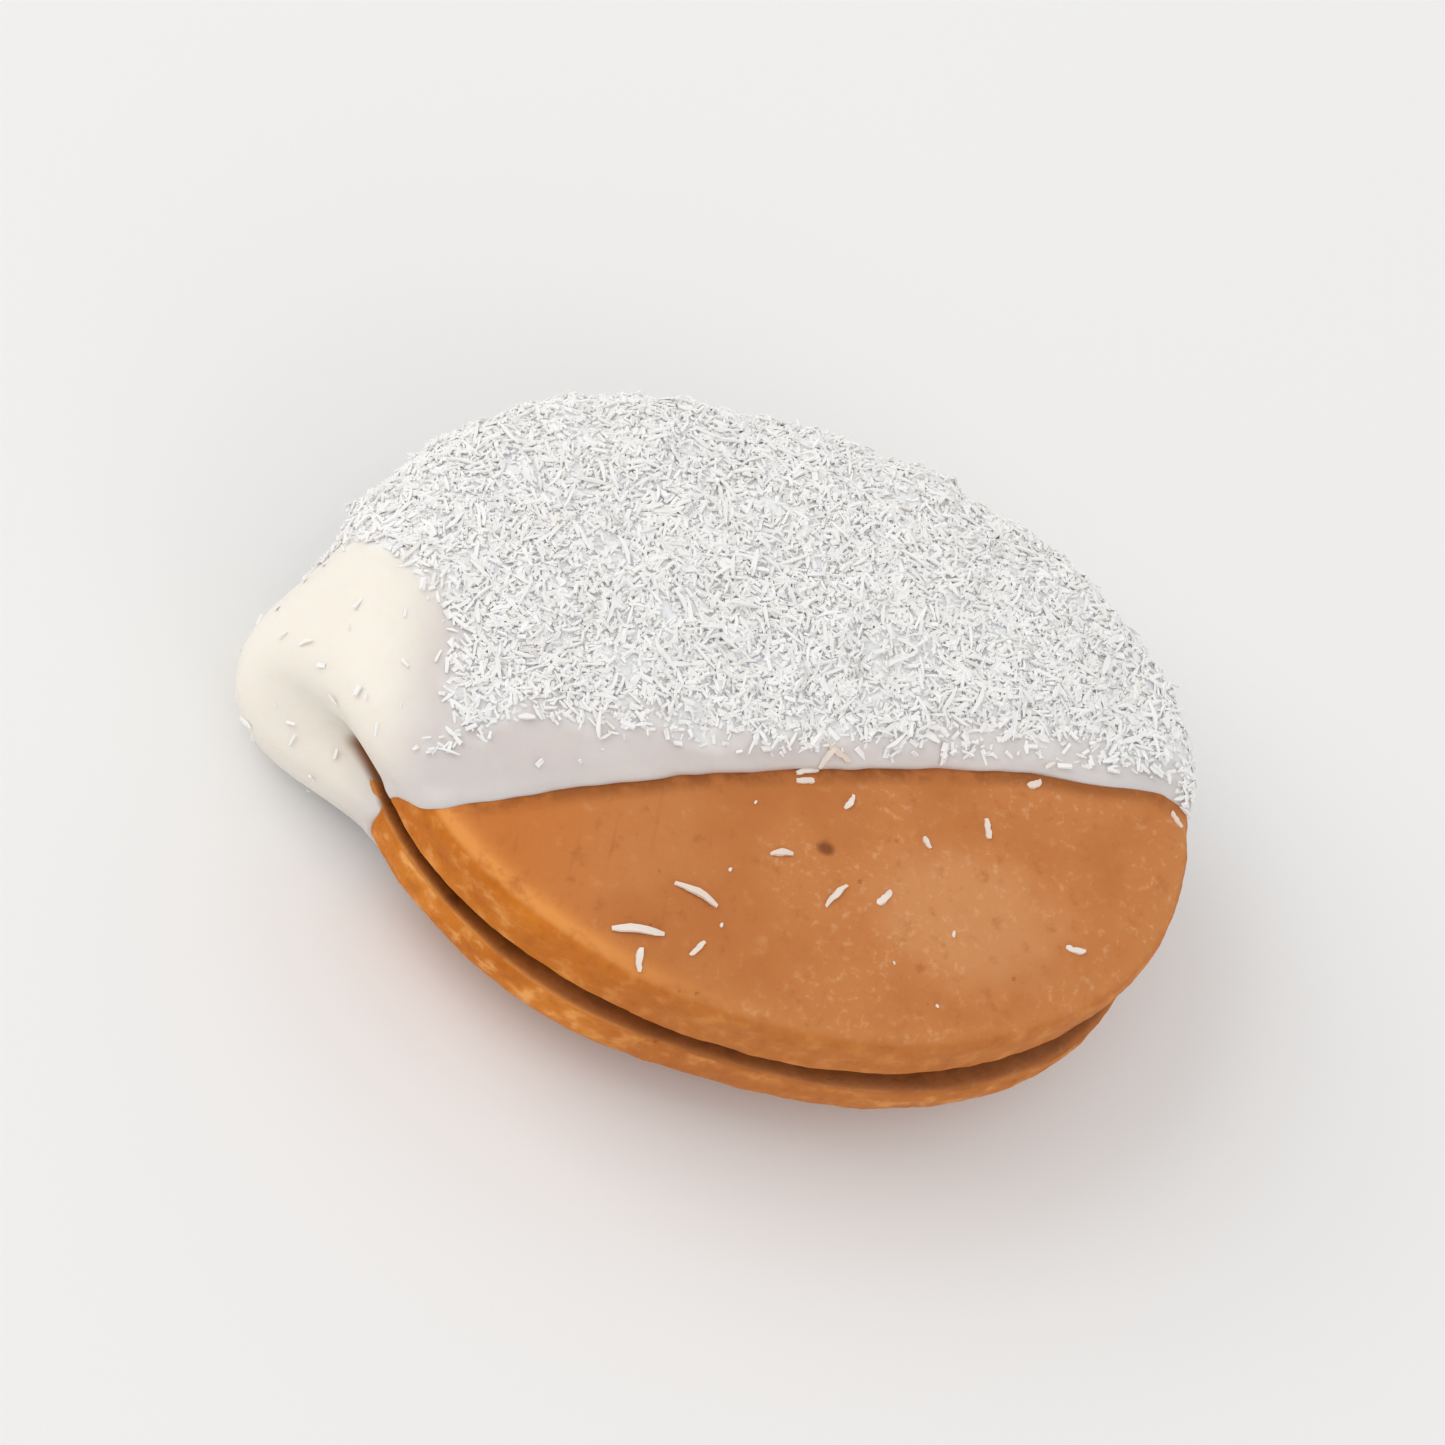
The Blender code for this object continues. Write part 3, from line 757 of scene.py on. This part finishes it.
def gather(meshes, middle=Vector()):
    """All the meshes' points, measured from this middle, and their faces."""
    points, faces = [], []
    for mesh in meshes:
        base = len(points)
        points.extend(vert.co - middle for vert in mesh.vertices)
        faces.extend(tuple(base + i for i in face.vertices) for face in mesh.polygons)
    return points, faces


SANDWICH = BVHTree.FromPolygons(*gather([upper.data, lower.data, jam.data], MIDDLE))


def biscuit_hits(rays):
    """Where rays from outside first meet a biscuit or the jam."""
    hits = []
    for ray in rays:
        out = Vector(ray).normalized()
        hits.append(SANDWICH.ray_cast(out * RAY_START * MM, -out)[0])
    return np.array(hits)


def coat_reach(rays):
    """How far out each ray leaves the biscuits and the coat, how far that is from the coat's edge, the
    coconut's cover, and how much of the slit is there."""
    depth = np.linalg.norm(biscuit_hits(rays), axis=1)
    shell = pillow(rays, LIP_SIZES, LIP_POWER)
    past = from_edge(shell)

    lean = np.where(rays[:, 0] < 0, COAT_LEAN, FAR_COAT_LEAN)
    height = np.where(rays[:, 2] > 0, COAT_ABOVE, COAT_BELOW)
    sizes = np.stack([HALF_LENGTH + COAT_SIDE + lean, np.full(len(rays), HALF_WIDTH + COAT_SIDE),
                      HALF_HEIGHT + height], 1)
    full = pillow(rays, sizes, COAT_POWER)
    far = np.linalg.norm(full, axis=1)
    cover = coconut_cover(full, past)
    thick = larger(far - depth - COCONUT_ROOM * cover, THINNEST, THIN_FILLET)
    end = smooth((-full[:, 0] - END_STARTS) / END_SPAN)
    lip = LIP_SHARE - END_LIP_LOSS * end
    wedge = smooth(past / (LIP_SLOPE + END_LIP_SPREAD * end))
    profile = lip * round_lip(past / LIP_ROUND) + (1 - lip) * wedge
    thick *= profile
    thick += ball_rise(rays, far, BLOB_MIDDLE, BLOB_RADIUS) * smooth(past / BLOB_LIP)

    beyond = above_dip(shell) - SLIT_LENGTH
    level = shell[:, 2] - SLIT_LEVEL
    away = np.hypot(SLIT_TAPER * np.clip(beyond, 0, None), level)
    upper_share = smooth((level + SLIT_SLOPE_STARTS) / SLIT_SLOPE_SPAN)
    slope = SLIT_SLOPE + (SLIT_UPPER_SLOPE - SLIT_SLOPE) * upper_share
    rise = SLIT_SHARE * smooth(away / SLIT_WALL) + (1 - SLIT_SHARE) * smooth(away / slope)
    thick *= 1 - end * (1 - rise)
    slit = (full[:, 0] < -END_STARTS) * smooth(-beyond / SLIT_FADE)
    slit = slit * np.exp(-((level / SLIT_HALF_HEIGHT) ** 2))

    lump = uneven(full, COAT_LUMPS) + COVERED_LUMP * cover * lumps(full, COVERED_LUMP_SIZE)
    thick += COAT_LUMP * lump * (BARE_LUMPINESS + (1 - BARE_LUMPINESS) * cover) * profile
    return depth, depth + thick, past, cover, slit


# %% Lofting the coat
TIP_RAY = np.array([Vector(DIP_AXIS) * 20 * MM])
FOOT_ROUND = 0.12 * MM
SOFTENING = 90  # rounds that even out the bare chocolate
SOFT_STARTS, SOFT_SPAN = 0.3 * MM, 1.2 * MM  # this far from the lip it is softened
SLIT_SINK = 0.12 * MM  # the slit lies this far inside the biscuits
INNER_ROWS, INNER_CROWDING = 16, 1.2
SINK, TIP_SHARE = 0.25 * MM, 0.98  # the coat's inner wall and its tip lie inside the biscuits


def coat_rows(rows, crowding):
    """The rays of each row, from the dip line to near the tip."""
    for row in range(rows):
        share = (row / rows) ** crowding
        yield ray_directions(BORDER + (math.pi / 2 - BORDER) * share)


def flat_below(points):
    """The chocolate set on a flat sheet, which it met in a soft edge."""
    lifted = points.copy()
    lifted[:, 2] = UNDERSIDE + larger(points[:, 2] - UNDERSIDE, 0, FOOT_ROUND)
    return lifted


def soften(grid, times):
    """Evens out a grid of heights over its neighbouring rows and columns."""
    for _ in range(times):
        grid = (np.roll(grid, 1, axis=1) + 2 * grid + np.roll(grid, -1, axis=1)) / 4
        padded = np.pad(grid, ((1, 1), (0, 0)), mode="edge")
        grid = (padded[:-2] + 2 * grid + padded[2:]) / 4
    return grid


coat_rays = list(coat_rows(COAT_ROWS, ROW_CROWDING))
parts = zip(*(coat_reach(rays) for rays in coat_rays))
depth, reach, past, covers, slit = (np.array(part) for part in parts)
even = smooth((past - SOFT_STARTS) / SOFT_SPAN) * (1 - covers)
reach += (soften(reach, SOFTENING) - reach) * even
reach += (depth - SLIT_SINK - reach) * slit
outside = [flat_below(unit(rays) * far[:, None]) for rays, far in zip(coat_rays, reach)]
inside = []
for rays in coat_rows(INNER_ROWS, INNER_CROWDING):
    inside.append(biscuit_hits(rays) - unit(rays) * SINK)
_, tip_reach, _, tip_cover, _ = coat_reach(TIP_RAY)
tips = biscuit_hits(TIP_RAY)[0] * TIP_SHARE, unit(TIP_RAY)[0] * tip_reach[0]
coat = new_object("white_chocolate", skin("white_chocolate", inside[::-1] + outside, tips))
settle(coat)
count(coat)

# %% [markdown]
# # A thin dark line along the chocolate
#
# Cocoa butter creeps out from under the lip and darkens the dough beside it in a thin line, and the line
# also holds painted shadow under the lip. Each biscuit keeps how near its points are to the dip line, and
# its finish turns that into a broken line.

# %% Storing the nearness
SHORE_NEAR, SHORE_FAR = 0.35 * MM, 1.0 * MM
for piece in (upper, lower):
    points = np.array([vert.co - MIDDLE for vert in piece.data.vertices])
    near = 1 - np.clip((from_edge(points) - SHORE_NEAR) / (SHORE_FAR - SHORE_NEAR), 0, 1)
    piece.data.attributes.new("shore", "FLOAT", "POINT").data.foreach_set("value", near)
    print(piece.name, "has", int((near > 0.5).sum()), "points in the line")

# %% [markdown]
# # Where coconut lies
#
# The coat keeps the cover as an attribute of its points, so that the scatter reads it. The inner wall gets
# none, and the underside less, because it was pressed flat. A second attribute says where the slit is, so
# that the finish can paint it dark brown, partly as painted shade.

# %% Storing the cover and the slit
PRESSED_HEIGHT, PRESSED_LOSS = 0.15 * MM, 0.6
covered = np.concatenate([np.zeros(INNER_ROWS * COAT_COLUMNS), covers.ravel(), [0.0], tip_cover])
heights = np.array([vert.co.z for vert in coat.data.vertices]) - MIDDLE.z
covered *= 1 - PRESSED_LOSS * (heights < UNDERSIDE + PRESSED_HEIGHT)
slits = np.concatenate([np.zeros(INNER_ROWS * COAT_COLUMNS), slit.ravel(), [0.0, 0.0]])
for name, shares in (("coconut", covered), ("slit", slits)):
    coat.data.attributes.new(name, "FLOAT", "POINT").data.foreach_set("value", shares)
    print("mean of", name, shares.mean().round(3))


# %% White chocolate finish
# The bare chocolate's grey with a lilac tint is painted shade; its own creamy colour shows at the ball at
# -X
SHADED_CHOCOLATE, LIGHTER_SHADED_CHOCOLATE = (0.675, 0.612, 0.590), (0.72, 0.662, 0.640)
# Near white under the coconut is painted light that lifts the shade in the gaps between shreds
CREAM, PAINTED_LIGHT_UNDER_COCONUT, SLIT_BROWN_AND_SHADE = (0.87, 0.815, 0.735), (0.95, 0.945, 0.94), (0.24, 0.075, 0.014)


def chocolate_finish():
    """Painted grey shade on the bare chocolate, creamy at the ball, white under the coconut as painted
    light in the gaps between shreds, and dark brown in the slit, partly painted shade.
    """
    g = Finish("white_chocolate")
    cloud = g.noise(g.place, 5 * MM, 3.0)
    fine = g.noise(g.place, 0.7 * MM, 3.0)
    x = g.split(g.place)[0]
    # Painted shade on the bare chocolate, ending in its creamy colour towards the ball at -X
    colour = g.mix(g.step(cloud, 0.3, 0.7), SHADED_CHOCOLATE, LIGHTER_SHADED_CHOCOLATE)
    colour = g.mix(g.step(x, -19 * MM, -23 * MM), colour, CREAM)
    # White where coconut covers it: painted light that lifts the shade in the gaps between shreds
    colour = g.mix(g.attribute("coconut"), colour, PAINTED_LIGHT_UNDER_COCONUT)
    # Dark brown in the slit: the seam's colour, darkened as painted shade
    colour = g.mix(g.step(g.attribute("slit"), 0.25, 0.60), colour, SLIT_BROWN_AND_SHADE)
    g.set(Base_Color=colour, Roughness=0.34 + fine * 0.14)
    g.set(Normal=g.bump(fine, 0.03 * MM, g.bump(g.noise(g.place, 2.0 * MM), 0.12 * MM)))
    g.set(Subsurface_Weight=0.35, Subsurface_Radius=(1.0, 0.75, 0.5), Subsurface_Scale=1.2 * MM)
    return g.material


coat.data.materials.append(chocolate_finish())

# %% [markdown]
# # Shreds of coconut
#
# Desiccated coconut is grated, so its shreds are flat slivers, bent and twisted, with torn ends, and
# between them are short scraps and grains. Ten shapes of each kind are enough, because every copy lies at
# its own angle. Each has 6 to 14 faces, for there are tens of thousands of copies.

# %% One sliver
BEND, SWAY, TWIST = 0.35, 0.25, 0.5
NARROWING = 0.45
CORNERS = ((-1, -1), (1, -1), (0.85, 1), (-0.85, 1))
SHARP_ANGLE = math.radians(55)


def sliver(name, draw, length, width, depth, rings):
    """A flat strip of four sides that bends a little, twists and narrows towards its ends."""
    bend = draw.uniform(-BEND, BEND)
    sway = draw.uniform(-SWAY, SWAY)
    twist = draw.uniform(-TWIST, TWIST)
    loops = []
    for ring in range(rings):
        step = ring / (rings - 1) * 2 - 1
        narrow = (1 - NARROWING * abs(step) ** 3) * draw.uniform(0.75, 1.15)
        middle = Vector((step * length / 2, sway * length * step**2 / 3, bend * length * (1 - step**2) / 5))
        middle.y += draw.uniform(-0.08, 0.08) * width
        turn = Matrix.Rotation(twist * step, 3, "X")
        corners = [Vector((0, y * width / 2, z * depth / 2)) for y, z in CORNERS]
        loops.append([middle + turn @ corner * narrow for corner in corners])
    mesh = skin(name, loops)
    mesh.set_sharp_from_angle(angle=SHARP_ANGLE)
    return mesh


KINDS = {  # spans of the length, width and depth in mm, and the number of rings
    "long": ((1.2, 2.1), (0.20, 0.34), (0.10, 0.18), 4),
    "short": ((0.6, 1.1), (0.17, 0.32), (0.09, 0.15), 3),
    "grain": ((0.35, 0.75), (0.24, 0.55), (0.12, 0.24), 2),
    "dust": ((0.20, 0.40), (0.16, 0.34), (0.08, 0.18), 2),
}
SHAPES_OF_A_KIND = 10
draw = random.Random(11)


def kind_shapes(kind):
    """A collection with some shapes of one kind."""
    *spans, rings = KINDS[kind]
    group = bpy.data.collections.new(kind)
    for number in range(SHAPES_OF_A_KIND):
        sizes = [draw.uniform(*span) * MM for span in spans]
        name = f"{kind}_{number}"
        group.objects.link(bpy.data.objects.new(name, sliver(name, draw, *sizes, rings)))
    return group


shapes = {kind: kind_shapes(kind) for kind in KINDS}


# %% Coconut finish
TAN_SHRED, WHITE_FIBRE = (0.84, 0.79, 0.70), (0.97, 0.968, 0.965)


def coconut_finish(name, light, dark):
    """Coconut flesh, from light to dark by each shred's own tone, and a few shreds tan."""
    g = Finish(name)
    tone = g.attribute("tone")
    fibre = g.noise(g.place, 0.45 * MM, 3.0)
    colour = g.mix(tone, light, dark)
    colour = g.mix(g.step(tone, 0.95, 1.0) * 0.5, colour, TAN_SHRED)
    colour = g.mix(g.step(fibre, 0.55, 0.8) * 0.3, colour, WHITE_FIBRE)
    g.set(Base_Color=colour, Roughness=0.46 + fibre * 0.2, Normal=g.bump(fibre, 0.03 * MM))
    return g.material


COCONUT_FINISH = coconut_finish("desiccated_coconut", (0.93, 0.925, 0.925), (0.905, 0.895, 0.885))
STRAY_FINISH = coconut_finish("stray_coconut", (0.86, 0.78, 0.71), (0.80, 0.67, 0.57))

# %% [markdown]
# # Rolling it in coconut
#
# Points are strewn over the coat as densely as its cover says. Each point gets a shred, which lies along
# the surface at a random heading, tips up a little and floats up to its share of the layer. Grains lie
# lowest, long shreds higher, and a few tufts stand out. What reaches below the coat is pressed softly onto
# the floor that it lies on.

# %% The scatter as a geometry tree
def scatter_shape():
    g = Shape("scatter")
    seed = g.given("Seed", "Int")
    density, clump_size, clumping = g.numbers("Density", "Clump size", "Clumping")
    lowest, highest, tilt, roll = g.numbers("Lowest", "Highest", "Tilt", "Roll")
    small, large, floor, pressing = g.numbers("Smallest", "Largest", "Floor", "Pressing")
    shapes = g.given("Shapes", "Collection")
    material = g.given("Material", "Material")

    cover = g.node("GeometryNodeInputNamedAttribute", {"data_type": "FLOAT"}, {"Name": "coconut"})
    clumps = g.noise(g.node("GeometryNodeInputPosition"), clump_size, 2.0)
    clumps = g.step(clumps, 0.35, 0.62)
    cover = cover * (1 - clumping + clumps * clumping * 2)
    inputs = {"Mesh": g.start, "Density": density * cover, "Seed": seed}
    points = g.node("GeometryNodeDistributePointsOnFaces", {}, inputs)
    normal, facing = points.other("Normal"), points.other("Rotation")
    height = g.random(lowest, highest, seed + 1)
    lifted = g.move(points, Offset=g.scaled(normal, height))

    turn = g.join(g.random(roll * -1, roll, seed + 2), g.random(tilt * -1, tilt, seed + 3),
                  g.random(0.0, math.tau, seed + 4))
    turn = g.node("FunctionNodeEulerToRotation", {}, {0: turn})
    turned = g.node("FunctionNodeRotateRotation", {"rotation_space": "LOCAL"}, {0: facing, 1: turn})
    group = g.node("GeometryNodeCollectionInfo", {}, {"Collection": shapes, "Separate Children": True,
                                                      "Reset Children": True})
    inputs = {"Points": lifted, "Instance": group, "Pick Instance": True, "Rotation": turned,
              "Scale": g.random(small, large, seed + 5)}
    shreds = g.node("GeometryNodeInstanceOnPoints", {}, inputs)
    shreds = g.store(shreds, "tone", g.random(0.0, 1.0, seed + 6), "INSTANCE")
    shreds = g.node("GeometryNodeRealizeInstances", {}, {"Geometry": shreds})
    x, y, z = g.split(g.node("GeometryNodeInputPosition"))
    rise = z - floor
    below = g.math("LOGARITHM", g.math("EXPONENT", abs(rise) / pressing * -1) + 1, math.e) * pressing
    shreds = g.move(shreds, Position=g.join(x, y, floor + g.math("MAXIMUM", rise, 0.0) + below))
    g.end(shreds, material)
    return g


# %% Strewing each kind
SCATTER = scatter_shape()
PER_SQUARE_MM = 1e6
DEGREE = math.radians(1)
LAYER_UNITS = {"Density": PER_SQUARE_MM, "Lowest": MM, "Highest": MM, "Tilt": DEGREE, "Roll": DEGREE,
               "Smallest": 1, "Largest": 1, "Clumping": 1}
LAYERS = {  # the kind, and then a number for each unit
    "coconut_dust": ("dust", 7.8, 0.02, 0.24, 40, 50, 0.7, 1.3, 0.3),
    "coconut_grains": ("grain", 8.2, -0.04, 0.18, 18, 30, 0.7, 1.25, 0.25),
    "coconut_short": ("short", 3.4, 0.0, 0.19, 8, 25, 0.75, 1.2, 0.5),
    "coconut_long": ("long", 0.5, 0.05, 0.30, 8, 25, 0.6, 1.05, 0.7),
    "coconut_tufts": ("short", 0.5, 0.12, 0.38, 35, 60, 0.6, 1.0, 0.8),
}
CLUMP_SIZE = 3.2 * MM
FLOOR_GAP = 0.02 * MM
PRESSING = 0.08 * MM  # how softly shreds under the coat are pressed onto the floor
coconut = []
for number, (name, (kind, *figures)) in enumerate(LAYERS.items()):
    values = {key: figure * unit for figure, (key, unit) in zip(figures, LAYER_UNITS.items())}
    values |= {
        "Seed": 100 * (number + 1),
        "Clump size": CLUMP_SIZE,
        "Floor": CAD_BOX[0][2] + FLOOR_GAP,
        "Pressing": PRESSING,
        "Shapes": shapes[kind],
        "Material": COCONUT_FINISH,
    }
    coconut.append(grow(name, SCATTER, values, coat.data))
    count(coconut[-1])

# %% [markdown]
# # Stray coconut on the face
#
# A few shreds and crumbs fell on the bare face and over the chocolate's edge. The larger ones lie where the
# model has them, smaller bits lie along the chocolate as in the photograph, and the crumbs are strewn at
# random. Each one is dropped onto the surface below it.

# %% Where the strays lie
# Each one's x and y in mm, its heading in degrees and its share of the full length.
STRAYS = (
    (-3.6, -11.3, -12, 0.9), (-6.3, -14.4, 12, 1.0), (-2.9, -14.4, 60, 0.4), (-5.8, -15.9, 100, 0.45),
    (0.5, -7.4, 20, 0.45), (3.9, -8.8, 60, 0.65), (6.6, -8.0, 60, 0.4), (11.5, -2.0, 110, 0.4),
    (17.7, -7.1, 10, 0.4),
)
BITS = (
    (2.3, -1.0, 160, 0.6), (1.0, -2.2, 30, 0.45), (1.7, -1.4, 80, 0.5), (1.0, -2.8, 20, 0.35),
    (3.7, -3.2, 70, 0.35), (8.3, -4.0, 130, 0.25), (13.6, 1.5, 40, 0.3), (22.0, 2.7, 150, 0.35),
)
STRAY_LENGTH, STRAY_WIDTHS, STRAY_DEPTH = 2.9 * MM, (0.30, 0.44), 0.16 * MM
STRAY_RINGS, STRAY_LIFT = 7, 0.05 * MM
CRUMBS = 22
CRUMB_SIZES, CRUMB_RINGS = (0.10, 0.24), 3
CRUMB_REACH = 0.92  # a share of the face's area
print(len(STRAYS), "strays,", len(BITS), "bits and", CRUMBS, "crumbs")


# %% Dropping the strays
def drop(tree, x, y):
    """The spot below a point and the surface's normal there."""
    return tree.ray_cast(Vector((x, y, CAD_BOX[1][2] + 5 * MM)), Vector((0, 0, -1)))[:2]


def lay(mesh, spot, normal, heading, lift):
    """Turns and moves a shred so that it lies on a surface."""
    level = Vector((math.cos(heading), math.sin(heading), 0))
    along = (level - normal * level.dot(normal)).normalized()
    axes = Matrix((along, normal.cross(along), normal)).transposed().to_4x4()
    mesh.transform(Matrix.Translation(spot + normal * lift) @ axes)
    return mesh


def merge(name, meshes):
    """One mesh of several, each with its own tone."""
    points, faces = gather(meshes)
    tones = []
    for mesh in meshes:
        tones.extend([draw.random()] * len(mesh.vertices))
        bpy.data.meshes.remove(mesh)
    merged = bpy.data.meshes.new(name)
    merged.from_pydata(points, [], faces)
    merged.attributes.new("tone", "FLOAT", "POINT").data.foreach_set("value", tones)
    merged.shade_smooth()
    merged.set_sharp_from_angle(angle=SHARP_ANGLE)
    return merged


face_tree, coat_tree = (BVHTree.FromPolygons(*gather([obj.data])) for obj in (upper, coat))
dropped = []
for x, y, degrees, share in STRAYS + BITS:
    at = (MIDDLE.x + x * MM, MIDDLE.y + y * MM)
    hits = [hit for hit in (drop(face_tree, *at), drop(coat_tree, *at)) if hit[0]]
    spot, normal = max(hits, key=lambda hit: hit[0].z)
    width = draw.uniform(*STRAY_WIDTHS) * MM
    mesh = sliver("stray", draw, STRAY_LENGTH * share, width, STRAY_DEPTH, STRAY_RINGS)
    dropped.append(lay(mesh, spot, normal, math.radians(degrees), STRAY_LIFT))
for _ in range(CRUMBS):
    angle, out = draw.uniform(0, math.tau), draw.uniform(0, CRUMB_REACH) ** 0.5
    x = MIDDLE.x + out * HALF_LENGTH * math.cos(angle)
    y = MIDDLE.y + out * HALF_WIDTH * math.sin(angle)
    spot, normal = drop(face_tree, x, y)
    size = draw.uniform(*CRUMB_SIZES) * MM
    mesh = sliver("crumb", draw, size * draw.uniform(1, 2), size, size * 0.6, CRUMB_RINGS)
    dropped.append(lay(mesh, spot, normal, draw.uniform(0, math.tau), size * 0.2))
strays = new_object("stray_coconut", merge("stray_coconut", dropped))
strays.data.materials.append(STRAY_FINISH)
count(strays)

# %% [markdown]
# # Handing the pieces to the frame
#
# Every piece rides on the one body, and stands for the solid that it replaces. The shapes that were only
# there to be copied are removed.

# %% Riding and replacing
for group in shapes.values():
    for helper in list(group.objects):
        bpy.data.objects.remove(helper)
    bpy.data.collections.remove(group)

PIECES = [
    (upper, "biscuit_upper", "biscuit"),
    (lower, "biscuit_lower", "biscuit"),
    (jam, "jam_filling", "jam"),
    (coat, "coconut_coat", "coconut"),
    (strays, "biscuit_upper", "coconut"),
]
PIECES += [(piece, "coconut_coat", "coconut") for piece in coconut]
for piece, node, slot in PIECES:
    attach(piece, "root")
    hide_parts(node)
print(len(PIECES), "pieces")

# %% [markdown]
# # Floor, light and camera
#
# The piece lies on a plain white floor under soft light: one large lamp from the upper left, a weaker one
# opposite, and a pale sky. The camera looks down on the piece from the side on which its seam shows,
# through a long lens, as in the photograph.

# %% Floor and light
floor_finish = Finish("floor")
floor_finish.set(Base_Color=(0.88, 0.88, 0.88), Roughness=0.8)
FLOOR_REACH = 3.0
floor_mesh = bpy.data.meshes.new("floor")
signs = ((-1, -1), (1, -1), (1, 1), (-1, 1))
corners = [(x * FLOOR_REACH, y * FLOOR_REACH, CAD_BOX[0][2]) for x, y in signs]
floor_mesh.from_pydata(corners, [], [(0, 1, 2, 3)])
floor_mesh.materials.append(floor_finish.material)
floor = new_object("floor", floor_mesh)
floor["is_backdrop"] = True

world = bpy.data.worlds.new("studio")
world.use_nodes = True
sky = world.node_tree.nodes["Background"].inputs
sky["Color"].default_value = (1.0, 0.995, 0.985, 1)
sky["Strength"].default_value = 0.75
bpy.context.scene.world = world
LAMP_DISTANCE, LAMP_SIZE = 0.9, 0.7


def soft_lamp(name, direction, power, colour):
    """A square lamp that shines on the piece from this direction."""
    data = bpy.data.lights.new(name, "AREA")
    data.size = LAMP_SIZE
    data.energy = power
    data.color = colour
    lamp = new_object(name, data)
    lamp.location = Vector(direction).normalized() * LAMP_DISTANCE
    lamp.rotation_euler = Vector(direction).to_track_quat("Z", "Y").to_euler()


soft_lamp("key", (-0.74, 0.23, 0.61), 2.9, (1.0, 0.985, 0.96))
soft_lamp("fill", (0.7, -0.6, 0.5), 1.0, (1.0, 0.99, 0.98))
bpy.context.scene.view_settings.view_transform = "Standard"

# %% Camera
VIEW_FROM = Vector((-0.232, -0.470, 0.852)).normalized()
PICTURE_TURN = math.radians(-10.9)
PICTURE_UP = Vector((math.sin(PICTURE_TURN), math.cos(PICTURE_TURN), 0))
CAMERA_DISTANCE = 0.9
FRAME_SHARE = 0.68  # of the picture's width that the piece takes
SENSOR = 36.0

box_low, box_high = (Vector(corner) for corner in CAD_BOX)
target = (box_low + box_high) / 2
up = (PICTURE_UP - VIEW_FROM * PICTURE_UP.dot(VIEW_FROM)).normalized()
right = up.cross(VIEW_FROM)
camera_data = bpy.data.cameras.new("camera")
camera_data.sensor_width = SENSOR
camera_data.lens = SENSOR * CAMERA_DISTANCE * FRAME_SHARE / (box_high.x - box_low.x)
camera_data.clip_start = 0.01
camera = new_object("camera", camera_data)
camera.matrix_world = Matrix.Translation(target + VIEW_FROM * CAMERA_DISTANCE) @ Matrix(
    (right, up, VIEW_FROM)
).transposed().to_4x4()
bpy.context.scene.camera = camera
print("lens in mm", round(camera_data.lens, 1))

# %% Sizes kept for comparison
boxes = {"cad": CAD_BOX, "visual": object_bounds()}
{name: [list(corner) for corner in box] for name, box in boxes.items()}
